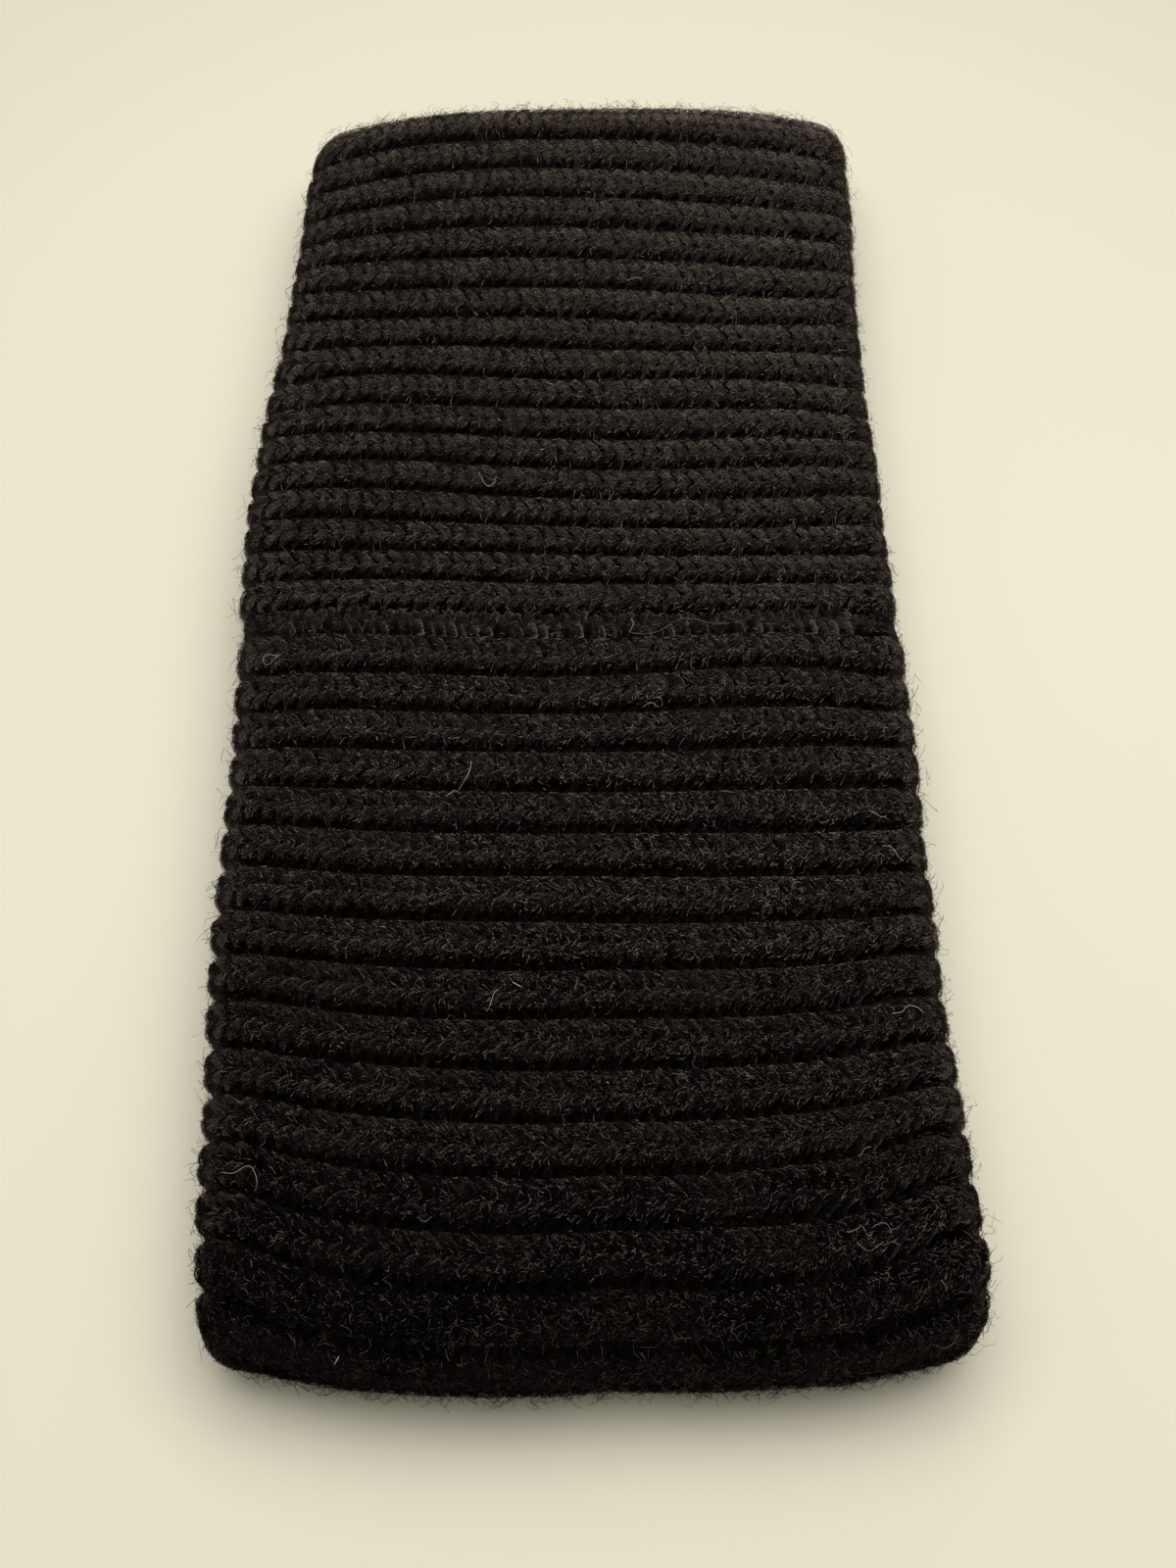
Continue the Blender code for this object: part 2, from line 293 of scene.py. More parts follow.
def putMesh(name, points, faceSets, uv=None, tone=None, woolIndex=None):
    # faceSets are arrays of corner numbers, one row a face; uv holds one pair for each corner in the same
    # order, and woolIndex the number of each face's wool, which picks the darker wools of painted shade
    mesh = bpy.data.meshes.new(name)
    corners = np.concatenate([faces.ravel() for faces in faceSets]).astype(np.int32)
    sizes = np.concatenate([np.full(len(faces), faces.shape[1]) for faces in faceSets])
    starts = np.concatenate([[0], np.cumsum(sizes)[:-1]]).astype(np.int32)
    mesh.vertices.add(len(points))
    mesh.vertices.foreach_set("co", points.astype(np.float32).ravel())
    mesh.loops.add(len(corners))
    mesh.loops.foreach_set("vertex_index", corners)
    mesh.polygons.add(len(sizes))
    mesh.polygons.foreach_set("loop_start", starts)
    mesh.update(calc_edges=True)
    mesh.shade_smooth()
    if uv is not None:
        mesh.uv_layers.new(name="yarnPath").data.foreach_set("uv", uv.astype(np.float32).ravel())
    if tone is not None:
        mesh.attributes.new("tone", "FLOAT", "POINT").data.foreach_set("value", tone.astype(np.float32))
    if woolIndex is not None:
        mesh.polygons.foreach_set("material_index", woolIndex.astype(np.int32))
    piece = bpy.data.objects.new(name, mesh)
    bpy.context.scene.collection.objects.link(piece)
    return piece


def tubeMesh(name, rings, length, tone, woolIndex=None):
    # rings (tubes, rings, sides, 3) joined by four-cornered faces, with both ends closed; woolIndex is one
    # number for each tube and span between two rings
    count, steps, sides = rings.shape[:3]
    first = (np.arange(count) * steps * sides)[:, None, None]
    low = first + (np.arange(steps - 1) * sides)[None, :, None]
    spoke = np.arange(sides)[None, None, :]
    nextSpoke = (spoke + 1) % sides
    high = low + sides
    quads = np.stack([low + spoke, low + nextSpoke, high + nextSpoke, high + spoke], -1).reshape(-1, 4)
    startCap = first[:, 0] + np.arange(sides)[::-1]
    endCap = first[:, 0] + (steps - 1) * sides + np.arange(sides)
    u0, u1 = length[:, :-1, None], length[:, 1:, None]
    v0 = np.broadcast_to(spoke / sides, (count, steps - 1, sides))
    v1 = v0 + 1 / sides
    u0, u1 = np.broadcast_to(u0, v0.shape), np.broadcast_to(u1, v0.shape)
    sideUv = np.stack([u0, v0, u0, v1, u1, v1, u1, v0], -1).reshape(-1, 2)
    capV = np.arange(sides) / sides
    startUv = np.stack(np.broadcast_arrays(length[:, :1], capV[::-1]), -1).reshape(-1, 2)
    endUv = np.stack(np.broadcast_arrays(length[:, -1:], capV), -1).reshape(-1, 2)
    perPoint = np.repeat(tone, steps * sides)
    if woolIndex is not None:
        woolIndex = np.concatenate([np.repeat(woolIndex.ravel(), sides), woolIndex[:, 0], woolIndex[:, -1]])
    return putMesh(name, rings.reshape(-1, 3), [quads, startCap, endCap],
                   np.concatenate([sideUv, startUv, endUv]), perPoint, woolIndex)


def stripTubes(name, around, along, out, girth, tall, sides, tone, start, soft=0.0, ply=0.0, twist=0.0,
               facing=ridgeFacing, woolIndex=None):
    # yarn along centre lines on the strip: a ring goes girth to each side of the line and tall up and down
    stepA, stepS = np.gradient(around, axis=1), np.gradient(along, axis=1)
    stepO = np.gradient(out, axis=1)
    plan = np.hypot(stepA, stepS)
    full = np.sqrt(plan ** 2 + stepO ** 2)
    length = np.cumsum(full, axis=1) * 1000
    angle = 2 * math.pi * np.arange(sides) / sides
    swell = 1 + ply * np.cos(2 * (angle - twist * length[..., None]))
    wide = girth[..., None] * np.cos(angle) * swell
    ringA = around[..., None] - wide * (stepS / plan)[..., None]
    ringS = along[..., None] + wide * (stepA / plan)[..., None]
    ringO = out[..., None] + tall[..., None] * np.sin(angle) * swell
    piece = tubeMesh(name, stripPoint(ringA, ringS, ringO), length + start[:, None], tone, woolIndex)
    if soft:
        softenNormals(piece.data, facing(ringA, ringS), soft)
    return piece


def threeWays(way, lean):
    # three ways square to a fibre, a third of a turn apart, the first of them square to its random lean too
    sideA = unit(np.cross(way, lean))
    sideB = np.cross(way, sideA)
    angle = 2 * math.pi * np.arange(3)[:, None] / 3
    return sideA[..., None, :] * np.cos(angle) + sideB[..., None, :] * np.sin(angle)


def needleMesh(name, foot, tip, radius, seed, tone, facing, soft):
    # a straight fibre: three corners round its foot and a point at its tip
    count = len(foot)
    ring = threeWays(unit(tip - foot), np.random.default_rng(seed).normal(size=(count, 3)))
    points = np.concatenate([foot[:, None] + radius[:, None, None] * ring, tip[:, None]], axis=1)
    faces = (4 * np.arange(count))[:, None, None] + np.array([[0, 2, 1], [0, 1, 3], [1, 2, 3], [2, 0, 3]])
    piece = putMesh(name, points.reshape(-1, 3), [faces.reshape(-1, 3)], None, np.repeat(tone, 4))
    softenNormals(piece.data, np.repeat(facing, 4, axis=0), soft)
    return piece


def spindleMesh(name, paths, radius, seed, tone, facing=None, soft=0.0):
    # a fibre: pointed at both ends, with a ring of three corners round each point of its path between them
    count, steps = paths.shape[:2]
    lean = np.random.default_rng(seed).normal(size=(count, 1, 3))
    ring = threeWays(unit(paths[:, 2:] - paths[:, :-2]), lean)
    ring = paths[:, 1:-1, None] + radius[:, None, None, None] * ring
    size = 2 + 3 * (steps - 2)
    points = np.concatenate([paths[:, :1], ring.reshape(count, -1, 3), paths[:, -1:]], axis=1)
    first = (np.arange(count) * size)[:, None]
    spoke = np.arange(3)
    nextSpoke = (spoke + 1) % 3
    last = first + 1 + 3 * (steps - 3)
    point = np.broadcast_to(first, (count, 3))
    tip = np.broadcast_to(first + size - 1, (count, 3))
    heads = np.stack([point, first + 1 + nextSpoke, first + 1 + spoke], -1).reshape(-1, 3)
    tails = np.stack([last + spoke, last + nextSpoke, tip], -1).reshape(-1, 3)
    faceSets = [heads, tails]
    if steps > 3:
        low = first[:, :, None] + 1 + (np.arange(steps - 3) * 3)[None, :, None]
        faceSets.append(np.stack([low + spoke, low + nextSpoke, low + 3 + nextSpoke, low + 3 + spoke],
                                 -1).reshape(-1, 4))
    piece = putMesh(name, points.reshape(-1, 3), faceSets, None, np.repeat(tone, size))
    if soft:
        softenNormals(piece.data, np.repeat(facing, size, axis=0), soft)
    return piece


# shader nodes

def addNode(tree, kind, **settings):
    # a node with its own settings filled in
    node = tree.nodes.new(kind)
    for key, value in settings.items():
        setattr(node, key, value)
    return node


def setInputs(node, values):
    # plain numbers and colours put straight on the node's own sockets
    for label, value in values.items():
        node.inputs[label].default_value = value


# camera, at the angle of the photograph

view = {"place": (-0.0052, -0.16617, 0.2667), "down": 61.036, "turn": -2.812, "roll": 2.268,
        "lens": 42.75, "sensor": 36.0, "near": 0.02}


def makeCamera():
    # rolled about its line of sight, tipped up from straight down, turned about the upright, and moved
    camera = bpy.data.objects.new("camera", bpy.data.cameras.new("camera"))
    down, turn, roll = (math.radians(view[key]) for key in ("down", "turn", "roll"))
    camera.matrix_world = (Matrix.Translation(view["place"]) @ Matrix.Rotation(turn, 4, "Z")
                           @ Matrix.Rotation(math.pi / 2 - down, 4, "X") @ Matrix.Rotation(roll, 4, "Z"))
    camera.data.lens = view["lens"]
    camera.data.sensor_width = view["sensor"]
    camera.data.clip_start = view["near"]
    bpy.context.scene.collection.objects.link(camera)
    bpy.context.scene.camera = camera


makeCamera()
print("camera set")

# light: one soft panel overhead, a little to the far side, and a pale room

light = {
    "roomNear": 0.14, "roomFar": 0.42, "roomReach": 0.8, "colour": (1.0, 0.985, 0.96),
    "place": (0.02, 0.02, 0.47), "size": 0.45, "power": 2.28,
}


def makeLight():
    # the room grows brighter steadily from the near side to the far; the lamp is a panel facing the band
    world = bpy.data.worlds.new("room")
    bpy.context.scene.world = world
    world.use_nodes = True
    tree = world.node_tree
    back = tree.nodes["Background"]
    back.inputs["Color"].default_value = (*light["colour"], 1)
    way = addNode(tree, "ShaderNodeTexCoord")
    parts = addNode(tree, "ShaderNodeSeparateXYZ")
    tree.links.new(way.outputs["Generated"], parts.inputs[0])
    shade = addNode(tree, "ShaderNodeMapRange")
    setInputs(shade, {"From Min": -light["roomReach"], "From Max": light["roomReach"],
                      "To Min": light["roomNear"], "To Max": light["roomFar"]})
    tree.links.new(parts.outputs[1], shade.inputs["Value"])
    tree.links.new(shade.outputs[0], back.inputs["Strength"])
    lamp = bpy.data.lights.new("overLight", "AREA")
    lamp.energy, lamp.size, lamp.color = light["power"], light["size"], light["colour"]
    panel = bpy.data.objects.new("overLight", lamp)
    panel.location = light["place"]
    panel.rotation_euler = Vector(light["place"]).to_track_quat("Z", "Y").to_euler()
    bpy.context.scene.collection.objects.link(panel)


bpy.context.scene.view_settings.view_transform = "Standard"
makeLight()
print("light set")


# materials

def feed(tree, socket, value):
    # a socket takes another's output, or else a plain number or colour of its own
    if isinstance(value, bpy.types.NodeSocket):
        tree.links.new(value, socket)
    else:
        socket.default_value = value


def mathNode(tree, operation, *values):
    # one arithmetic step on sockets or plain numbers
    node = addNode(tree, "ShaderNodeMath", operation=operation)
    for socket, value in zip(node.inputs, values):
        feed(tree, socket, value)
    return node.outputs[0]


def noiseNode(tree, vector, scale, detail, rough):
    # soft noise from nought to one
    node = addNode(tree, "ShaderNodeTexNoise")
    setInputs(node, {"Scale": scale, "Detail": detail, "Roughness": rough})
    tree.links.new(vector, node.inputs["Vector"])
    return node.outputs["Fac"]


def stretch(tree, value, low, high):
    # the range from low to high spread over nought to one, cut off beyond
    node = addNode(tree, "ShaderNodeMapRange")
    setInputs(node, {"From Min": low, "From Max": high})
    tree.links.new(value, node.inputs["Value"])
    return node.outputs[0]


def mixColour(tree, factor, first, second):
    # first colour at nought, second at one
    node = addNode(tree, "ShaderNodeMix", data_type="RGBA")
    for place, value in ((0, factor), (6, first), (7, second)):
        feed(tree, node.inputs[place], value)
    return node.outputs[2]


def newGroup(name, inputs, outputs):
    # an empty shader group with its sockets, as (group, input sockets, output sockets)
    group = bpy.data.node_groups.new(name, "ShaderNodeTree")
    for label, kind in inputs:
        group.interface.new_socket(name=label, in_out="INPUT", socket_type=kind)
    for label, kind in outputs:
        group.interface.new_socket(name=label, in_out="OUTPUT", socket_type=kind)
    return group, group.nodes.new("NodeGroupInput").outputs, group.nodes.new("NodeGroupOutput").inputs


streak = {"along": 0.9, "detail": 3.0, "rough": 0.65, "low": 0.32, "high": 0.68}


def makeStreaks():
    # fibres wound round a yarn: noise read at length, cosine and sine of the angle round it, which moves on
    # by twist times length
    group, given, put = newGroup(
        "fibreStreaks",
        [("Path", "NodeSocketVector"), ("Twist", "NodeSocketFloat"), ("Fineness", "NodeSocketFloat")],
        [("Streak", "NodeSocketFloat"), ("Strand", "NodeSocketFloat")])
    parts = addNode(group, "ShaderNodeSeparateXYZ")
    group.links.new(given["Path"], parts.inputs[0])
    wound = mathNode(group, "MULTIPLY_ADD", parts.outputs[0], given["Twist"], parts.outputs[1])
    angle = mathNode(group, "MULTIPLY", wound, 2 * math.pi)
    vector = addNode(group, "ShaderNodeCombineXYZ")
    group.links.new(mathNode(group, "MULTIPLY", parts.outputs[0], streak["along"]), vector.inputs[0])
    for place, wave in ((1, "COSINE"), (2, "SINE")):
        swung = mathNode(group, "MULTIPLY", mathNode(group, wave, angle), given["Fineness"])
        group.links.new(swung, vector.inputs[place])
    grain = noiseNode(group, vector.outputs[0], 1.0, streak["detail"], streak["rough"])
    group.links.new(stretch(group, grain, streak["low"], streak["high"]), put["Streak"])
    strand = mathNode(group, "COSINE", mathNode(group, "MULTIPLY", angle, 2))
    group.links.new(mathNode(group, "MULTIPLY_ADD", strand, 0.5, 0.5), put["Strand"])
    return group


# for each noise its scale, roughness, and the range of it that is spread out; then how much each one counts
mottle = {
    "broad": (85, 0.5, 0.45, 0.75), "middling": (650, 0.6, 0.3, 0.7), "fine": (4200, 0.6, 0.34, 0.66),
    "warmShare": 0.5, "middlingShare": 0.15, "fineShare": 0.35, "detail": 2,
}


def makeTone():
    # mottled wool: broad, middling and fine noise added up, from deep colour to lit colour
    group, given, put = newGroup(
        "woolTone",
        [("Place", "NodeSocketVector"), ("Extra", "NodeSocketFloat"),
         ("Deep", "NodeSocketColor"), ("Lit", "NodeSocketColor"), ("Warm", "NodeSocketColor")],
        [("Colour", "NodeSocketColor"), ("Grain", "NodeSocketFloat")])
    noises = []
    for scale, rough, low, high in (mottle[key] for key in ("broad", "middling", "fine")):
        noise = noiseNode(group, given["Place"], scale, mottle["detail"], rough)
        noises.append(stretch(group, noise, low, high))
    broad, middling, grain = noises
    total = mathNode(group, "MULTIPLY", grain, mottle["fineShare"])
    total = mathNode(group, "MULTIPLY_ADD", middling, mottle["middlingShare"], total)
    total = mathNode(group, "ADD", total, given["Extra"])
    base = mixColour(group, total, given["Deep"], given["Lit"])
    tinted = mixColour(group, mathNode(group, "MULTIPLY", broad, mottle["warmShare"]), base, given["Warm"])
    group.links.new(tinted, put["Colour"])
    group.links.new(grain, put["Grain"])
    return group


streakGroup, toneGroup = makeStreaks(), makeTone()


def makeWool(name, finish):
    # matt wool: streaks along the yarn and a mottle in the mass, both in colour and in relief
    wool = bpy.data.materials.new(name)
    wool.use_nodes = True
    tree = wool.node_tree
    shader = tree.nodes["Principled BSDF"]
    place = addNode(tree, "ShaderNodeTexCoord")
    tone = addNode(tree, "ShaderNodeGroup", node_tree=toneGroup)
    tree.links.new(place.outputs["Object"], tone.inputs["Place"])
    for key in ("deep", "lit", "warm"):
        tone.inputs[key.capitalize()].default_value = (*finish[key], 1)
    spread = addNode(tree, "ShaderNodeAttribute", attribute_name="tone")
    extra = mathNode(tree, "MULTIPLY_ADD", spread.outputs["Fac"], finish["toneSpread"], finish["toneFloor"])
    relief = tone.outputs["Grain"]
    if finish["streaks"]:
        path = addNode(tree, "ShaderNodeUVMap", uv_map="yarnPath")
        streaks = addNode(tree, "ShaderNodeGroup", node_tree=streakGroup)
        setInputs(streaks, {"Twist": finish["twist"], "Fineness": finish["fineness"]})
        tree.links.new(path.outputs[0], streaks.inputs["Path"])
        extra = mathNode(tree, "MULTIPLY_ADD", streaks.outputs["Streak"], finish["streaks"], extra)
        relief = mathNode(tree, "MULTIPLY_ADD", streaks.outputs["Streak"], finish["streakRelief"], relief)
        relief = mathNode(tree, "MULTIPLY_ADD", streaks.outputs["Strand"], finish["strand"], relief)
    tree.links.new(extra, tone.inputs["Extra"])
    tree.links.new(tone.outputs["Colour"], shader.inputs["Base Color"])
    bump = addNode(tree, "ShaderNodeBump")
    setInputs(bump, {"Strength": finish["bump"], "Distance": finish["bumpDepth"]})
    tree.links.new(relief, bump.inputs["Height"])
    tree.links.new(bump.outputs[0], shader.inputs["Normal"])
    setInputs(shader, {
        "Roughness": finish["roughness"], "Specular IOR Level": finish["shine"],
        "Sheen Weight": finish["sheen"], "Sheen Roughness": finish["sheenRoughness"],
        "Sheen Tint": (*finish["sheenTint"], 1)})
    return wool


blackWool = {
    "deep": (0.0006, 0.0005, 0.0004), "lit": (0.0060, 0.0050, 0.0042), "warm": (0.0040, 0.0031, 0.0024),
    "toneSpread": 0.15, "toneFloor": -0.35, "streaks": 0.8, "twist": 0.12, "fineness": 5.0, "strand": 0.2,
    "streakRelief": 1.4, "bump": 0.9, "bumpDepth": 0.00013, "roughness": 0.95, "shine": 0.0,
    "sheen": 0.70, "sheenRoughness": 0.20, "sheenTint": (1.0, 0.83, 0.69),
}
hairyWool = {
    **blackWool, "streaks": 0, "deep": (0.0008, 0.0007, 0.0006), "lit": (0.230, 0.191, 0.158),
    "warm": (0.0225, 0.017, 0.0125), "toneSpread": 1.0, "toneFloor": -0.22, "bump": 0.1, "sheen": 0.50,
}


def ribWools(name, sheen):
    # three wools for the crest of a rib, its flank and its furrow, each with less sheen than the last: the
    # flank's and the furrow's are painted shade
    return [makeWool(name + part, {**blackWool, "sheen": sheen * share})
            for part, share in sheenShares.items()]


sheenShares = {"Crest": 1.0, "Flank": 0.5, "Furrow": 0.1}
# sheen of the rib wools: full on the far half and by the join, less and less towards the near fold, least
# on the fold, the underside and the inner face, as painted shade
ribSheens = {"knit": 0.70, "mid": 0.62, "near": 0.55, "low": 0.40, "fold": 0.12}
knitWool, midWool, nearWool, lowWool, foldWool = (ribWools(*each) for each in ribSheens.items())
# the backing seen between the legs has little sheen, painted shade between the stitches, and by the folded
# edges a little more sheen, less painted shade
backWool = makeWool("backWool", {**blackWool, "streaks": 0, "sheen": 0.12})
edgeWool = makeWool("edgeWool", {**blackWool, "streaks": 0, "sheen": 0.25})
# the purl bars on the floors of the furrows have the least sheen: painted shade in the furrows
furrowWool = makeWool("furrowWool", {**blackWool, "sheen": 0.06})
# the lacing sunk between the loops of the join has little sheen: painted shade
joinWool = makeWool("joinWool", {**blackWool, "twist": 0.5, "strand": 1.0, "sheen": 0.15})
closingWool = makeWool("closingWool", {**blackWool, "twist": 0.5, "strand": 1.0})
fuzzWool = makeWool("fuzzWool", hairyWool)
# nearFuzz and foldFuzz are darker copies of the fuzz wool with less sheen: painted shade on the near ribs
# and the near fold, underneath, on the edges and on some loose fibres
nearFuzz = makeWool("nearFuzz", {**hairyWool, "lit": (0.17, 0.139, 0.116), "sheen": 0.34})
foldFuzz = makeWool("foldFuzz", {
    **hairyWool, "lit": (0.16, 0.132, 0.110), "sheen": 0.06, "toneFloor": -0.30})
lintWool = makeWool("lintWool", {
    **blackWool, "deep": (0.40, 0.37, 0.33), "lit": (0.85, 0.80, 0.74), "warm": (0.6, 0.55, 0.48),
    "streaks": 0, "toneSpread": 0.6, "bump": 0.1, "shine": 0.3, "sheen": 0.1})
print("materials made")


def settle(piece, wool, slotName, *nodes):
    # the piece gets its wool or wools, rides on the band and stands for the solids named
    for each in wool if isinstance(wool, list) else [wool]:
        piece.data.materials.append(each)
    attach(piece, "root")
    if nodes:
        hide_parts(*nodes)
    return piece


# the backing: the strip's own body under its stitches

backing = {
    "perRib": 6, "faceSteps": 16, "edgeSteps": 8, "innerSteps": 6, "sink": 0.00060, "edgeRaised": 0.6,
    "soft": 0.6, "tone": 0.3, "litBefore": 0.003, "litBeyond": 0.0005,
}


def spanMiddles(values):
    # halfway between each value and the next
    return (values[..., 1:] + values[..., :-1]) / 2


def knitBacking():
    # outer skin: crest less sink and the rib's fall; the hidden skin is level; four rims close the sheet
    # between them
    share = np.arange(backing["perRib"]) / backing["perRib"]
    stations = (ribFrom[:, None] + ribWide[:, None] * share).ravel()
    offset = np.tile(np.abs(share - 0.5), ribCount)
    depth = furrowDepth(np.repeat(np.arange(ribCount), backing["perRib"]), np.tile(share > 0.5, ribCount))
    lip = band["joinGap"] / 2
    stations = np.concatenate([[lip], stations, [furrows[-1], loopAround - lip]])
    offset = np.concatenate([[0.5], offset, [0.5, 0.5]])
    depth = np.concatenate([depth[:1], depth, depth[-1:], depth[-1:]])
    face = np.linspace(0, turnAt, backing["faceSteps"] + 1)[:-1]
    edge = turnAt + edgeArc * np.arange(backing["edgeSteps"]) / backing["edgeSteps"]
    inner = np.linspace(outerHalf, stripHalf, backing["innerSteps"] + 1)
    half = np.concatenate([face, edge, inner])
    columns = np.concatenate([-half[:0:-1], half])
    n, m = len(stations), len(columns)
    around, along = np.meshgrid(stations, columns, indexing="ij")
    sink = backing["sink"] * (1 - backing["edgeRaised"] * edgeTurned(along))
    skin = crest - sink - ribFallen(offset[:, None], along, depth[:, None])
    outer = stripPoint(around, along, skin)
    hidden = stripPoint(around, along, np.full((n, m), band["layerGap"] / 2))
    number = np.arange(n * m).reshape(n, m)
    under = number + n * m

    def between(a, b, c, d):
        # four-cornered faces from four grids of corner numbers
        return np.stack([a, b, c, d], -1).reshape(-1, 4)

    faces = np.concatenate([
        between(number[:-1, :-1], number[1:, :-1], number[1:, 1:], number[:-1, 1:]),
        between(under[:-1, :-1], under[:-1, 1:], under[1:, 1:], under[1:, :-1]),
        between(under[:-1, 0], under[1:, 0], number[1:, 0], number[:-1, 0]),
        between(number[:-1, -1], number[1:, -1], under[1:, -1], under[:-1, -1]),
        between(number[0, :-1], number[0, 1:], under[0, 1:], under[0, :-1]),
        between(under[-1, :-1], under[-1, 1:], number[-1, 1:], number[-1, :-1]),
    ])
    points = np.concatenate([outer.reshape(-1, 3), hidden.reshape(-1, 3)])
    # by the folded edge the outer skin wears edgeWool, with less painted shade than backWool's
    reach = np.abs(spanMiddles(columns)) - turnAt
    lit = (reach > -backing["litBefore"]) & (reach < backing["litBeyond"])
    woolIndex = np.concatenate([np.tile(lit, n - 1), np.zeros(len(faces) - (n - 1) * (m - 1))])
    piece = putMesh("knitBacking", points, [faces], None, np.full(len(points), backing["tone"]), woolIndex)
    facing = ridgeFacing(around, along)
    softenNormals(piece.data, np.concatenate([facing, -facing]), backing["soft"])
    return piece


knitBack = settle(knitBacking(), [backWool, edgeWool], "knit_wool", "knit_strip")
print("backing made:", len(knitBack.data.polygons), "faces")

# the stitches: two rows of legs on each rib, leaning together like arrowheads

# fall, edgeFlank and edgeFurrow say where a leg takes the darker wools of painted shade; edgeLegLight moves
# that line outwards near the edges as painted light, leftLegShade inwards on the left as painted shade, and
# ragged and swing make it uneven; groupsFrom splits the near ribs into groups of less and less sheen,
# painted shade
legs = {
    "step": 0.00243, "from": 0.020, "to": 0.385, "lean": 1.25, "girth": 0.135, "tall": 0.00080,
    "proud": 0.00005, "dive": 0.00040, "outerDive": 0.0007, "diveAs": 3.0, "taper": 0.20,
    "outerTaper": 0.10, "taperAs": 2.2, "uneven": 0.06, "slip": 0.00012, "rise": 0.00008, "soft": 0.8,
    "yarnLong": 900, "fall": (0.24, 0.31), "edgeFlank": 0.03, "edgeFurrow": 0.27, "edgeRaised": 0.6,
    "edgeLegLight": 0.14, "leftLegShade": 0.6, "ragged": 0.025, "swing": 0.025, "swingLong": 0.013,
    "swingTurn": 2.4, "groupsFrom": (4, 8, 12, 14),
}
stitchCount = round(stripHalf / legs["step"])
stitchPlaces = np.arange(-stitchCount + 0.5, stitchCount) * legs["step"]
isOuter = np.abs(stitchPlaces) < outerHalf - legs["step"] / 2
outerStitches = stitchPlaces[isOuter]
innerStitches = stitchPlaces[~isOuter & (np.abs(stitchPlaces) < stripHalf - legs["step"])]


def edgePaintedShade(along):
    # painted shade over the folded edge: the flank's wool where a rib begins to turn over it, and the
    # furrow's further round
    over = (np.abs(spanMiddles(along)) - turnAt) / edgeArc
    return (over > legs["edgeFlank"]).astype(int) + (over > legs["edgeFurrow"])


def stitchLegs(name, ribs, places, rings, sides, seed, farFall=legs["fall"], nearFall=legs["fall"],
               parting=0.0, dim=(), rightFade=0.0):
    # a leg goes out from the rib's middle line as it goes back along the rib, and dives at both its ends;
    # beyond the shares in farFall and nearFall it wears the flank's and the furrow's wool, darker as
    # painted shade, and so it does over the edge, in the parting between the two rows and on dim
    rng = np.random.default_rng(seed)
    rib, place, side = (grid.ravel() for grid in np.meshgrid(ribs, places, [-1, 1], indexing="ij"))
    count = len(rib)
    share = np.linspace(0, 1, rings)[None, :]
    end = np.abs(2 * share - 1)
    wide = ribWide[rib][:, None]
    middleLine = (ribFrom + ribTo)[rib][:, None] / 2
    slip = rng.normal(0, legs["slip"], (2, count, 1))
    swell = 1 + rng.normal(0, legs["uneven"], (count, 1))
    reach = legs["from"] + (legs["to"] - legs["from"]) * share
    around = middleLine + side[:, None] * wide * reach + slip[0]
    along = place[:, None] + legs["lean"] * legs["step"] * (0.5 - share) + slip[1]
    fallen = ribFallen(reach, along, furrowDepth(rib, side > 0)[:, None])
    dive = np.where(share < 0.5, legs["dive"], legs["outerDive"]) * end ** legs["diveAs"]
    dive = dive * (1 - legs["edgeRaised"] * edgeTurned(along))
    out = crest + legs["proud"] - legs["tall"] - fallen - dive
    out = out + rng.normal(0, legs["rise"], (count, 1))
    shape = swell * (1 - np.where(share < 0.5, legs["taper"], legs["outerTaper"]) * end ** legs["taperAs"])
    halfway, mid = spanMiddles(reach), spanMiddles(along)
    fall = np.where(side[:, None] > 0, nearFall, farFall)
    # the line where the painted shade begins moves out near the edge, as painted light, wanders and is
    # ragged
    turn = 2 * math.pi * mid / legs["swingLong"] + legs["swingTurn"] * rib[:, None] + side[:, None]
    shadeShift = legs["edgeLegLight"] * edgeTurned(mid) + legs["swing"] * np.sin(turn)
    shadeShift = shadeShift + rng.normal(0, legs["ragged"], (count, 1))
    # towards the right the line moves out, painted light, and towards the left in, painted shade
    shadeShift = shadeShift + rightFade * np.clip(mid / turnAt, -legs["leftLegShade"], 1)
    woolIndex = (halfway > fall[:, :1] + shadeShift).astype(int) + (halfway > fall[:, 1:] + shadeShift)
    woolIndex = np.maximum(woolIndex, edgePaintedShade(along))
    woolIndex = np.maximum(woolIndex, (np.isin(rib, dim)[:, None] | (halfway < parting)).astype(int))
    return stripTubes(name, around, along, out, legs["girth"] * wide * shape, legs["tall"] * shape, sides,
                      rng.random(count), rng.uniform(0, legs["yarnLong"], count), legs["soft"], woolIndex=woolIndex)


nearTop, farTop = topRibs[:nearRibs + 1], topRibs[nearRibs + 1:]
joinSide, midSide, lowSide, foldSide, foldRibs = np.split(nearTop, legs["groupsFrom"])
# shares of a leg's reach where the flank's and the furrow's wool, painted shade, begin, for the row on the
# rib's far side and on its near side; on the far half the rib at the fold's nose wears at least the flank's
# wool, painted shade, and the shares move out towards the right, painted light
joinFalls = {"farFall": (0.09, 0.24), "nearFall": (0.28, 0.34)}
lowFalls = {"farFall": (0.09, 0.28), "nearFall": (0.33, 0.36)}
foldFalls = {"farFall": (0.14, 0.30), "nearFall": (0.33, 0.36)}
farFalls = {"parting": 0.08, "dim": farTop[:1], "rightFade": 0.08}
lastFalls = {"nearFall": (0.32, 0.38), "parting": 0.08}

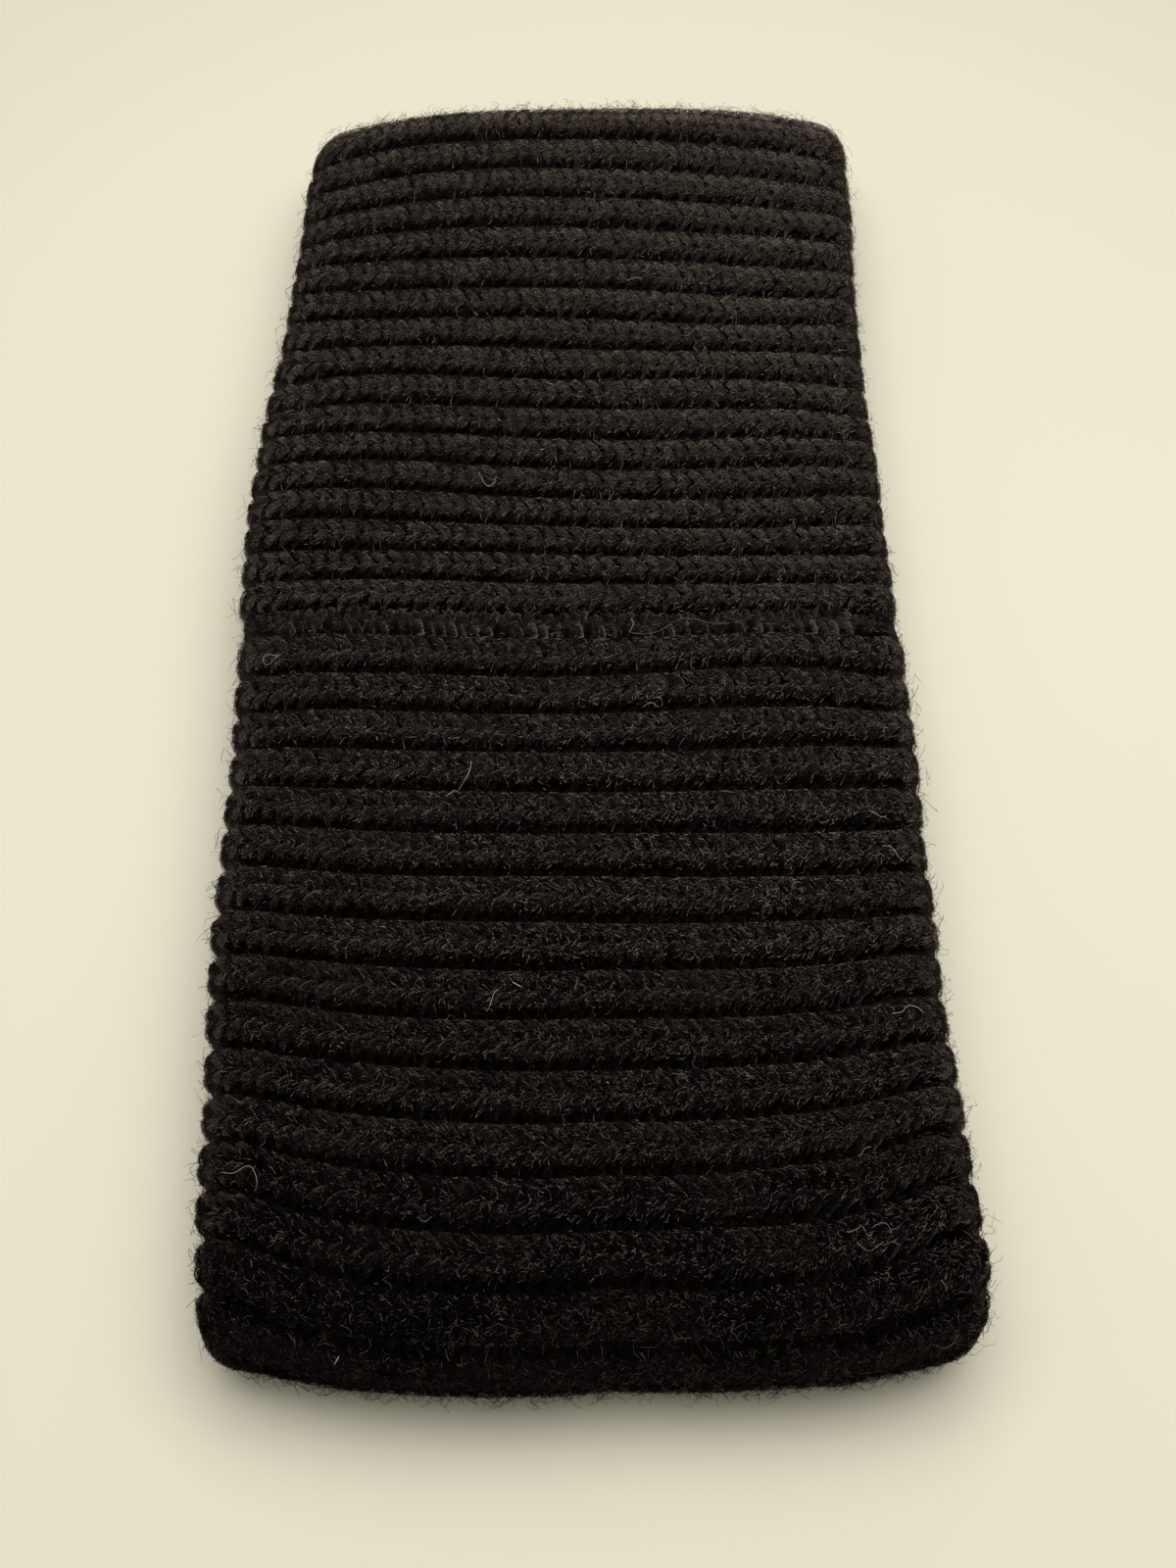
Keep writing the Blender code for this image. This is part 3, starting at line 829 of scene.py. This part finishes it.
# name, ribs, places along them, rings and sides of a leg, seed, wools, and how far each wool reaches; the
# wools have less and less sheen towards the near fold, the underside and the inner face, as painted shade
stitchKinds = [
    ("nearStitches", joinSide, outerStitches, 6, 6, 10, knitWool, joinFalls),
    ("midStitches", midSide, outerStitches, 6, 6, 16, midWool, joinFalls),
    ("nearerStitches", lowSide, outerStitches, 6, 6, 14, nearWool, lowFalls),
    ("lowStitches", foldSide, outerStitches, 6, 6, 17, lowWool, foldFalls),
    ("foldStitches", foldRibs, outerStitches, 6, 6, 15, foldWool, foldFalls),
    ("farStitches", farTop[:-1], outerStitches, 6, 6, 11, knitWool, farFalls),
    ("lastStitches", farTop[-1:], outerStitches, 6, 6, 18, knitWool, lastFalls),
    ("underStitches", underRibs, outerStitches, 4, 5, 12, foldWool, {}),
    ("innerStitches", np.arange(ribCount), innerStitches, 3, 4, 13, foldWool, {}),
]
stitchPieces = [settle(stitchLegs(*kind, **falls), wools, "knit_wool", "knit_strip")
                for *kind, wools, falls in stitchKinds]
print("stitches made:", [len(piece.data.polygons) for piece in stitchPieces])

# the purl bars: short arcs across the floor of each furrow

purl = {
    "reach": 0.21, "bow": 0.35, "girth": 0.00078, "tall": 0.00070, "floor": 0.0027, "arch": 0.0006,
    "uneven": 0.10, "slip": 0.08, "rise": 0.00012, "rightLit": 0.7,
}


def purlBars(name, places, rings, sides, seed):
    # across the furrow, bowed along the rib as share times its rest, and arched up the same way; they wear
    # the furrow's dark wool as painted shade, and on the far half more and more of them wear the flank's
    # lighter wool towards the right, as painted light
    rng = np.random.default_rng(seed)
    furrow, place = (grid.ravel() for grid in np.meshgrid(np.arange(1, ribCount), places, indexing="ij"))
    count = len(furrow)
    share = np.linspace(0, 1, rings)[None, :]
    arch = 4 * share * (1 - share)
    wide = ((ribWide[furrow - 1] + ribWide[furrow]) / 2)[:, None]
    around = furrows[furrow][:, None] + purl["reach"] * wide * (2 * share - 1)
    along = place[:, None] + legs["step"] * (purl["bow"] * arch + rng.normal(0, purl["slip"], (count, 1)))
    out = crest - purl["floor"] + purl["arch"] * arch + rng.normal(0, purl["rise"], (count, 1))
    swell = 1 + rng.normal(0, purl["uneven"], (count, 1))
    tone, start = rng.random(count), rng.uniform(0, legs["yarnLong"], count)
    lit = rng.random(count) < purl["rightLit"] * place / turnAt
    lit = lit & (furrow > farTop[0]) & (place < outerHalf)
    return stripTubes(name, around, along, out, purl["girth"] * swell, purl["tall"] * swell, sides,
                      tone, start, legs["soft"], woolIndex=np.repeat(lit[:, None], rings - 1, axis=1))


purlPieces = [
    settle(purlBars("outerPurl", outerStitches, 4, 5, 21), [furrowWool, knitWool[1]],
           "knit_wool", "knit_strip"),
    settle(purlBars("innerPurl", innerStitches, 3, 3, 22), furrowWool, "knit_wool", "knit_strip"),
]
print("purl bars made:", [len(piece.data.polygons) for piece in purlPieces])

# the join: small loops of both selvedges, and the yarn laced between them

join = {
    "rowAt": 0.00105, "loopStep": 0.0018, "loopLong": 0.0024, "loopGirth": 0.00062, "loopTall": 0.0007,
    "loopSink": 0.0003, "edgeSink": 0.0009, "loopArch": 0.0010, "loopLean": 0.0005, "stagger": 0.25,
    "endSpare": 0.002, "slipAround": 0.00018, "slipAlong": 0.00030, "rise": 0.00018, "uneven": 0.12,
    "loopSoft": 0.75, "loopWools": (0.40, 0.40, 0.20), "loopRings": 6, "loopSides": 6,
    "laceEdgeSink": 0.0004, "laceLift": 0.00022, "laceTones": (0.4, 0.6), "laceStarts": (0.0, 300.0),
    "points": 12, "sides": 10, "ply": 0.14, "twist": 2.2, "seed": 31,
}


def selvedgeLoops():
    # two rows of short leaning arcs along the join, low at both ends, each in the crest's, flank's or
    # furrow's wool chosen at random, and over the folded edge in the darker ones, painted shade
    rng = np.random.default_rng(join["seed"])
    count = round((stripHalf - join["endSpare"]) / join["loopStep"])
    grids = np.meshgrid([-1, 1], np.arange(-count, count), indexing="ij")
    row, place = (grid.reshape(-1, 1) for grid in grids)
    size = len(place)
    share = np.linspace(0, 1, join["loopRings"])[None, :]
    arch = 4 * share * (1 - share)
    around = join["rowAt"] * row + join["loopLong"] * (share - 0.5)
    around = around + rng.normal(0, join["slipAround"], (size, 1))
    along = (place + 0.5 + join["stagger"] * row) * join["loopStep"]
    along = along + join["loopLean"] * row * (share - 0.5) + rng.normal(0, join["slipAlong"], (size, 1))
    out = crest - join["loopSink"] - join["loopTall"] - join["loopArch"] * (1 - arch)
    out = out - join["edgeSink"] * edgeTurned(along) + rng.normal(0, join["rise"], (size, 1))
    swell = 1 + rng.normal(0, join["uneven"], (size, 1))
    woolIndex = np.maximum(rng.choice(3, (size, 1), p=join["loopWools"]), edgePaintedShade(along))
    return stripTubes("selvedgeLoops", around, along, out, join["loopGirth"] * swell,
                      join["loopTall"] * swell, join["loopSides"], rng.random(size),
                      rng.uniform(0, legs["yarnLong"], size), join["loopSoft"],
                      facing=levelFacing, woolIndex=woolIndex)


def joinLacing():
    # two strands swing from lip to lip in turn, as a sine of the distance along the join
    reach = stripHalf - band["sewingYarn"] - band["clearance"]
    turns = round(2 * reach / band["laceStep"])
    share = np.linspace(0, 1, turns * join["points"] + 1)
    swing = band["laceSwing"] * np.sin(2 * math.pi * turns * share)
    along = reach * (2 * share - 1)
    lift = join["laceLift"] * np.cos(2 * math.pi * turns * share * 2)
    rest = crest - band["laceSink"] - band["sewingYarn"] / 2 - join["laceEdgeSink"] * edgeTurned(along)
    around = np.stack([swing, -swing])
    out = np.stack([rest + lift, rest - lift])
    radius = np.full(around.shape, band["sewingYarn"] / 2)
    return stripTubes("joinLacing", around, np.stack([along, along]), out, radius, radius, join["sides"],
                      np.array(join["laceTones"]), np.array(join["laceStarts"]), legs["soft"],
                      join["ply"], join["twist"])


joinPieces = [
    settle(selvedgeLoops(), knitWool, "join_wool"),
    settle(joinLacing(), joinWool, "join_wool", "join_yarn"),
]
print("join made:", [len(piece.data.polygons) for piece in joinPieces])

closing = {"step": 0.0009, "sides": 10, "tone": 0.5, "ply": 0.16, "twist": 2.2}


def closingYarn():
    # one twisted yarn along the middle of the inner face, between the strip's two long edges
    start = band["joinLip"] + band["clearance"]
    count = round((loopAround - 2 * start) / closing["step"])
    around = np.linspace(start, loopAround - start, count + 1)[None, :]
    along = np.full(around.shape, stripHalf + closingHalf)
    out = np.full(around.shape, (band["layerGap"] + band["layer"]) / 2)
    radius = np.full(around.shape, band["sewingYarn"] / 2)
    return stripTubes("closingYarn", around, along, out, radius, radius, closing["sides"],
                      np.array([closing["tone"]]), np.zeros(1), 0.0, closing["ply"], closing["twist"])


closingPiece = settle(closingYarn(), closingWool, "closing_wool", "closing_yarn")
print("closing yarn made")

# the fuzz: short fibres lying on the ribs, and longer ones standing off the surface

fuzz = {
    "short": 0.0003, "long": 0.0011, "thin": 0.00004, "thick": 0.00008, "stray": 0.45, "wild": 1.2,
    "wildShare": 0.40, "hover": 0.00032, "footRise": (-0.3, 0.3), "tipRise": (0.2, 1.3), "hang": 8,
    "belowCrest": 0.0004, "legLean": 0.23, "ridgeShare": 0.40, "across": 0.06, "soft": 0.75, "rare": 7,
    "rightLit": 0.22, "leftPaintedShade": 0.6,
}
fuzzFrom, fuzzTo = np.append(ribFrom, -band["joinLip"]), np.append(ribTo, band["joinLip"])
fuzzWide = fuzzTo - fuzzFrom


def eitherSide(rng, reach, count):
    # random places along the ribs, between the two reaches to the left or to the right
    return rng.uniform(*reach, count) * rng.choice([-1, 1], count)


def lyingFibres(name, ribs, reach, count, seed, bridging, rightBridging):
    # a short needle on the knit, turned from the way of the stitch legs by a random angle, its tip a little
    # raised; over a furrow it hangs a random share of the way up; the join counts as one more rib; its tone
    # is a random number to a power that falls from left to right, so the fibres are brighter to the right
    # and
    # darker to the left: painted light and painted shade
    rng = np.random.default_rng(seed)
    rib = rng.choice(ribs, count, p=fuzzWide[ribs] / fuzzWide[ribs].sum())
    offset = rng.uniform(-1, 1, count)
    chance = rng.random(count)
    along = eitherSide(rng, reach, count)
    rightward = np.clip(along / turnAt, -1, 1)
    bridges = fuzz["across"] * (bridging + rightBridging * np.maximum(rightward, 0))
    spread = np.where(chance < bridges, 0.5, fuzz["ridgeShare"])
    around = (fuzzFrom + fuzzTo)[rib] / 2 + offset * spread * fuzzWide[rib]
    heading = np.arctan2(np.sign(offset) * fuzz["legLean"] * fuzzWide[rib], -legs["lean"] * legs["step"])
    stray = np.where(rng.random(count) < fuzz["wildShare"], fuzz["wild"], fuzz["stray"])
    heading = heading + stray * rng.normal(0, 1, count) + math.pi * rng.integers(0, 2, count)
    half = rng.uniform(fuzz["short"], fuzz["long"], count) / 2
    stepA, stepS = half * np.sin(heading), half * np.cos(heading)
    hang = rng.random(count) ** fuzz["hang"]
    ends = []
    for way, rise in ((-1, fuzz["footRise"]), (1, fuzz["tipRise"])):
        endAround, endAlong = around + way * stepA, along + way * stepS
        out = ridgeOut(endAround, endAlong) + rng.uniform(*rise, count) * fuzz["hover"]
        out = out + hang * np.maximum(crest - fuzz["belowCrest"] - out, 0)
        ends.append(stripPoint(endAround, endAlong, out))
    radius = rng.uniform(fuzz["thin"], fuzz["thick"], count)
    # fibres brighter to the right and darker to the left: painted light and painted shade
    paintedSideLight = np.where(rightward > 0, fuzz["rightLit"], fuzz["leftPaintedShade"]) * rightward
    tone = rng.random(count) ** (fuzz["rare"] * (1 - paintedSideLight))
    return needleMesh(name, *ends, radius, seed + 1, tone, ridgeFacing(around, along), fuzz["soft"])


halo = {
    "short": 0.0008, "long": 0.0044, "longAs": 2.5, "thin": 0.000022, "thick": 0.000044, "flat": 0.25,
    "curl": 0.24, "waves": (0.5, 1.3), "droop": 0.35, "curlUp": 0.5, "points": 4,
}


def standingFibres(name, around, reach, count, seed):
    # a fibre leaves the knit at a random slope and swings to both sides as sines of its length
    rng = np.random.default_rng(seed)
    start, along = rng.uniform(*around, count), eitherSide(rng, reach, count)
    length = (halo["short"] + (halo["long"] - halo["short"]) * rng.random(count) ** halo["longAs"])[:, None]
    slope = np.arcsin(rng.uniform(halo["flat"], 1, count))[:, None]
    heading = rng.uniform(0, 2 * math.pi, count)[:, None]
    share = np.linspace(0, 1, halo["points"])[None, :]
    phase, waves = rng.uniform(0, 2 * math.pi, (count, 1)), rng.uniform(*halo["waves"], (count, 1))
    swing = halo["curl"] * (np.sin(2 * math.pi * waves * share + phase) - np.sin(phase))
    rise = np.sin(slope) * share * (1 - halo["droop"] * share) + halo["curlUp"] * swing * np.cos(slope)
    pathA = start[:, None] + length * (np.cos(slope) * share * np.sin(heading) + swing * np.cos(heading))
    pathS = along[:, None] + length * (np.cos(slope) * share * np.cos(heading) - swing * np.sin(heading))
    pathO = ridgeOut(start, along)[:, None] + length * rise
    paths = stripPoint(pathA, pathS, pathO)
    facing = ridgeFacing(start, along)
    return spindleMesh(name, paths, rng.uniform(halo["thin"], halo["thick"], count), seed + 1,
                       rng.random(count) ** fuzz["rare"], facing, fuzz["soft"])


fringe = {"short": 0.0005, "long": 0.0017, "thin": 0.00002, "thick": 0.00004, "flat": 0.3, "root": 0.0002}


def fringeFibres(name, around, reach, count, seed):
    # a short needle rooted in the knit, pointing outwards at a random slope and leaning a random way
    rng = np.random.default_rng(seed)
    start, along = rng.uniform(*around, count), eitherSide(rng, reach, count)
    length = rng.uniform(fringe["short"], fringe["long"], count)
    rise = rng.uniform(fringe["flat"], 1, count)
    flat = length * np.sqrt(1 - rise ** 2)
    heading = rng.uniform(0, 2 * math.pi, count)
    skin = ridgeOut(start, along)
    foot = stripPoint(start, along, skin - fringe["root"])
    tip = stripPoint(start + flat * np.sin(heading), along + flat * np.cos(heading), skin + length * rise)
    return needleMesh(name, foot, tip, rng.uniform(fringe["thin"], fringe["thick"], count), seed + 1,
                      rng.random(count) ** fuzz["rare"], ridgeFacing(start, along), fuzz["soft"])


# shares of a fold and of a folded edge that the fuzz covers, and how far it goes past the edge, in metres
fuzzSpans = {
    "nearFold": (0.1, 0.8), "farFold": (0.2, 0.9), "topEdge": 0.55, "underEdge": 0.5,
    "inwards": 0.01, "rim": 0.002,
}
foldSpan = [nearRun + halfTurn * share for share in fuzzSpans["nearFold"]]
farFoldSpan = [nearRun + halfTurn + run + halfTurn * share for share in fuzzSpans["farFold"]]
topEnd = turnAt + fuzzSpans["topEdge"] * edgeArc
topReach, rimReach = (0, topEnd), (turnAt - fuzzSpans["rim"], topEnd)
edgeReach = (turnAt + fuzzSpans["underEdge"] * edgeArc, outerHalf + fuzzSpans["inwards"])
allRound, flatReach, foldedReach = (0, loopAround), (0, turnAt), (turnAt, outerHalf)

# name, ribs, reach along them, number of fibres, seed, bridging of the furrows and more of it at the right,
# and wool, darker towards the near fold, underneath and on the edges as painted shade
lyingKinds = [
    ("fuzzNear", np.concatenate([joinSide, midSide]), topReach, 48000, 41, 1, 0, fuzzWool),
    ("fuzzNearer", lowSide, topReach, 28000, 42, 2, 0, nearFuzz),
    ("fuzzFold", np.concatenate([foldSide, foldRibs]), topReach, 36000, 46, 3, 0, foldFuzz),
    ("fuzzJoin", np.array([ribCount]), topReach, 2800, 48, 8, 0, fuzzWool),
    ("fuzzLast", farTop[-1:], topReach, 2600, 49, 16, 0, fuzzWool),
    ("fuzzFar", farTop, topReach, 47500, 43, 1, 12, fuzzWool),
    ("fuzzFarther", farTop, topReach, 47500, 44, 1, 12, fuzzWool),
    ("fuzzRims", topRibs, rimReach, 6000, 50, 1, 0, fuzzWool),
    ("fuzzUnder", underRibs, topReach, 8000, 45, 1, 0, foldFuzz),
    ("fuzzEdges", np.arange(ribCount), edgeReach, 16000, 47, 1, 0, foldFuzz),
]

# kind, name, span round the loop, reach along the ribs, number of fibres, seed and wool; the darker fuzz
# wools are painted shade
looseKinds = [
    (fringeFibres, "fringeEdges", allRound, foldedReach, 13000, 71, foldFuzz),
    (fringeFibres, "fringeNear", foldSpan, flatReach, 3000, 73, foldFuzz),
    (fringeFibres, "fringeFar", farFoldSpan, flatReach, 3000, 75, nearFuzz),
    (standingFibres, "haloEdges", allRound, foldedReach, 7500, 51, foldFuzz),
    (standingFibres, "haloNearFold", foldSpan, flatReach, 3500, 53, foldFuzz),
    (standingFibres, "haloFarFold", farFoldSpan, flatReach, 3000, 55, nearFuzz),
    (standingFibres, "haloFaces", allRound, flatReach, 2000, 57, nearFuzz),
]
fuzzPieces = [settle(lyingFibres(*kind), wool, "knit_wool") for *kind, wool in lyingKinds]
fuzzPieces += [settle(makeFibres(*kind), wool, "knit_wool") for makeFibres, *kind, wool in looseKinds]
print("fuzz made:", [len(piece.data.polygons) for piece in fuzzPieces])

# pale lint caught in the wool: hairs by the places they go through, around and along in turn, in
# millimetres, and specks strewn at random

lint = {
    "radius": 0.00003, "points": 31, "rounds": 12, "hover": 0.00045, "speck": 0.00005, "full": 0.009,
    "specks": 60, "speckReach": (0.105, 0.044), "speckLong": (0.0003, 0.0007), "speckThick": (0.5, 1),
    "speckPoints": 4, "hairSeed": 61, "speckSeed": 63,
    "hairs": [
        [94.9, -48.0, 95.1, -47.2, 95.2, -46.5, 94.7, -45.7, 93.5, -45.2, 92.8, -44.6, 93.1, -43.9,
         94.1, -43.7, 94.8, -43.3, 95.5, -43.1, 96.0, -43.4, 96.5, -44.1],
        [69.3, 43.3, 69.2, 44.1, 69.5, 44.9, 68.8, 45.1, 68.4, 45.6, 68.7, 46.2, 68.9, 46.9, 69.2, 47.4,
         69.9, 47.6],
        [7.1, -44.7, 7.4, -45.5, 7.9, -46.0, 8.2, -46.9, 7.7, -47.4, 6.9, -47.1, 6.5, -46.5, 6.9, -45.7,
         7.2, -45.1, 7.0, -44.6],
        [-28.4, -15.0, -26.9, -14.4, -25.8, -13.9, -25.7, -13.2, -25.9, -12.4, -26.6, -12.1,
         -27.3, -12.3],
        [89.9, 36.2, 89.6, 36.9, 88.6, 37.3, 88.5, 38.1, 88.6, 38.5, 89.2, 38.9],
        [31.9, -18.9, 31.5, -18.0, 29.6, -17.3, 29.1, -16.6, 28.7, -16.0, 28.1, -15.5, 26.9, -15.3,
         25.5, -15.2],
        [62.4, -11.3, 63.3, -11.9, 64.4, -12.2, 65.2, -12.5, 65.5, -13.1],
        [40.7, 44.8, 40.8, 45.8, 41.5, 46.4, 42.5, 46.9, 43.1, 47.6],
        [-29.0, -4.2, -30.1, -3.8, -31.5, -3.0, -31.4, -2.3],
        [115.0, -33.4, 113.9, -32.7],
        [15.4, 10.8, 15.1, 11.4, 15.0, 12.2, 15.3, 12.8, 15.4, 13.3],
        [14.6, 12.8, 14.7, 13.4, 15.0, 13.8, 15.4, 13.7],
        [34.7, 43.3, 35.1, 43.9, 35.4, 44.5, 35.7, 45.1, 35.6, 45.9],
        [-71.3, 10.2, -71.7, 10.9, -71.9, 12.1, -71.7, 12.8],
        [-73.3, 12.7, -74.5, 13.9],
        [-0.7, 9.4, 0.3, 9.9, 1.9, 9.1],
        [1.9, 9.1, 2.6, 12.7, 1.8, 14.1, 0.3, 15.8, -0.7, 16.9, -0.8, 18.7, -0.3, 20.1, 0.7, 21.2,
         1.2, 23.6, 0.7, 25.2, 0.3, 27.4],
        [61.5, -9.3, 62.1, -8.1],
        [-75.5, -37.7, -75.2, -37.1],
        [-47.8, -4.2, -47.4, -2.9],
        [-39.5, -12.2, -39.2, -11.7],
    ],
    "fineRadius": 0.000016,
    "fineHairs": [
        [99.7, 33.5, 99.6, 34.0, 99.7, 34.6, 99.5, 35.0, 99.2, 35.5, 99.5, 35.8, 100.1, 36.0,
         100.6, 36.1, 100.9, 36.3, 100.6, 36.9],
        [99.9, 36.9, 99.7, 37.4, 99.6, 38.0, 99.8, 38.6, 100.2, 39.0, 100.8, 39.3, 101.5, 39.2],
        [101.1, 34.6, 101.8, 35.1, 102.4, 35.5, 102.9, 36.1, 102.8, 36.5, 102.6, 37.0, 102.4, 37.5,
         102.2, 38.1],
        [102.6, 38.0, 102.7, 38.4, 102.5, 38.8, 102.6, 39.3, 103.0, 39.7, 103.4, 40.2],
        [109.4, 44.8, 109.9, 45.1, 110.4, 45.4, 110.9, 45.5],
        [116.3, 43.7, 116.8, 44.4, 117.2, 44.9, 117.6, 45.6, 117.4, 46.2, 117.1, 46.7, 116.7, 47.0,
         115.6, 47.0],
        [90.0, -12.2, 90.4, -11.7, 90.7, -11.0, 91.1, -10.3],
        [92.1, -7.7, 92.7, -7.4, 93.2, -7.4, 93.7, -7.7, 94.1, -8.4, 94.5, -9.0],
        [91.1, -3.9, 91.4, -3.5, 91.8, -3.2],
        [112.7, -19.0, 113.2, -18.8, 113.5, -18.5],
        [95.7, -22.2, 96.0, -21.9, 96.1, -21.4, 95.9, -20.9, 95.6, -20.4],
        [104.4, -42.4, 103.9, -41.8, 103.6, -41.2, 103.1, -40.8, 102.3, -40.6],
    ],
}


def lintHairs():
    # each hair follows its places evenly by length, its bends rounded by averaging, just above the knit;
    # one of two places only is a thicker speck, and a long one is finer
    paths, spans = [], []
    for hair in lint["hairs"] + lint["fineHairs"]:
        places = np.reshape(hair, (-1, 2)) / 1000
        length = np.concatenate([[0], np.cumsum(np.hypot(*np.diff(places, axis=0).T))])
        spans.append(length[-1])
        even = np.linspace(0, length[-1], lint["points"])
        paths.append([np.interp(even, length, places[:, 0]), np.interp(even, length, places[:, 1])])
    paths = np.array(paths)
    for _ in range(lint["rounds"]):
        paths[:, :, 1:-1] = (paths[:, :, :-2] + 2 * paths[:, :, 1:-1] + paths[:, :, 2:]) / 4
    around, along = np.moveaxis(paths, 1, 0)
    points = stripPoint(around, along, ridgeOut(around, along) + lint["hover"])
    rng = np.random.default_rng(lint["hairSeed"])
    radius = [lint["speck"] if len(hair) == 4 else lint["radius"] for hair in lint["hairs"]]
    radius = np.array(radius + [lint["fineRadius"]] * len(lint["fineHairs"]))
    radius = radius * np.minimum(1, lint["full"] / np.array(spans))
    return spindleMesh("lintHairs", points, radius, lint["hairSeed"] + 1, rng.random(len(paths)))


def lintSpecks():
    # a speck is a short straight bit at a random place and angle
    rng = np.random.default_rng(lint["speckSeed"])
    count = lint["specks"]
    half = rng.uniform(*lint["speckLong"], (count, 1)) * np.linspace(-0.5, 0.5, lint["speckPoints"])
    angle = rng.uniform(0, math.pi, (count, 1))
    around = lint["speckReach"][0] * rng.uniform(-1, 1, (count, 1)) + half * np.sin(angle)
    along = lint["speckReach"][1] * rng.uniform(-1, 1, (count, 1)) + half * np.cos(angle)
    points = stripPoint(around, along, ridgeOut(around, along) + lint["hover"])
    radius = rng.uniform(*lint["speckThick"], count) * lint["speck"]
    return spindleMesh("lintSpecks", points, radius, lint["speckSeed"] + 1, rng.random(count))


lintPieces = [
    settle(lintHairs(), lintWool, "knit_wool"),
    settle(lintSpecks(), lintWool, "knit_wool"),
]
print("lint made")

# floor

floor = {
    "half": 2.0, "drop": 0.0001, "colour": (0.86, 0.82, 0.655), "shade": (0.83, 0.79, 0.625),
    "cloud": 6, "detail": 2, "rough": 0.5, "roughness": 0.85, "shine": 0.2,
}


def makeFloor():
    # a flat square, its paper colour faintly clouded
    half = floor["half"]
    corners = np.array([[-half, -half], [half, -half], [half, half], [-half, half]])
    points = np.concatenate([corners, np.full((4, 1), -floor["drop"])], axis=1)
    sheet = putMesh("floor", points, [np.array([[0, 1, 2, 3]])])
    paper = bpy.data.materials.new("paleFloor")
    paper.use_nodes = True
    tree = paper.node_tree
    shader = tree.nodes["Principled BSDF"]
    place = addNode(tree, "ShaderNodeTexCoord")
    cloud = noiseNode(tree, place.outputs["Object"], floor["cloud"], floor["detail"], floor["rough"])
    colour = mixColour(tree, cloud, (*floor["colour"], 1), (*floor["shade"], 1))
    tree.links.new(colour, shader.inputs["Base Color"])
    setInputs(shader, {"Roughness": floor["roughness"], "Specular IOR Level": floor["shine"]})
    sheet.data.materials.append(paper)


makeFloor()
print("floor laid")

bpy.context.view_layer.update()
madePieces = [knitBack, *stitchPieces, *purlPieces, *joinPieces, closingPiece, *fuzzPieces, *lintPieces]
print("triangles", sum(len(piece.data.loops) - 2 * len(piece.data.polygons) for piece in madePieces))
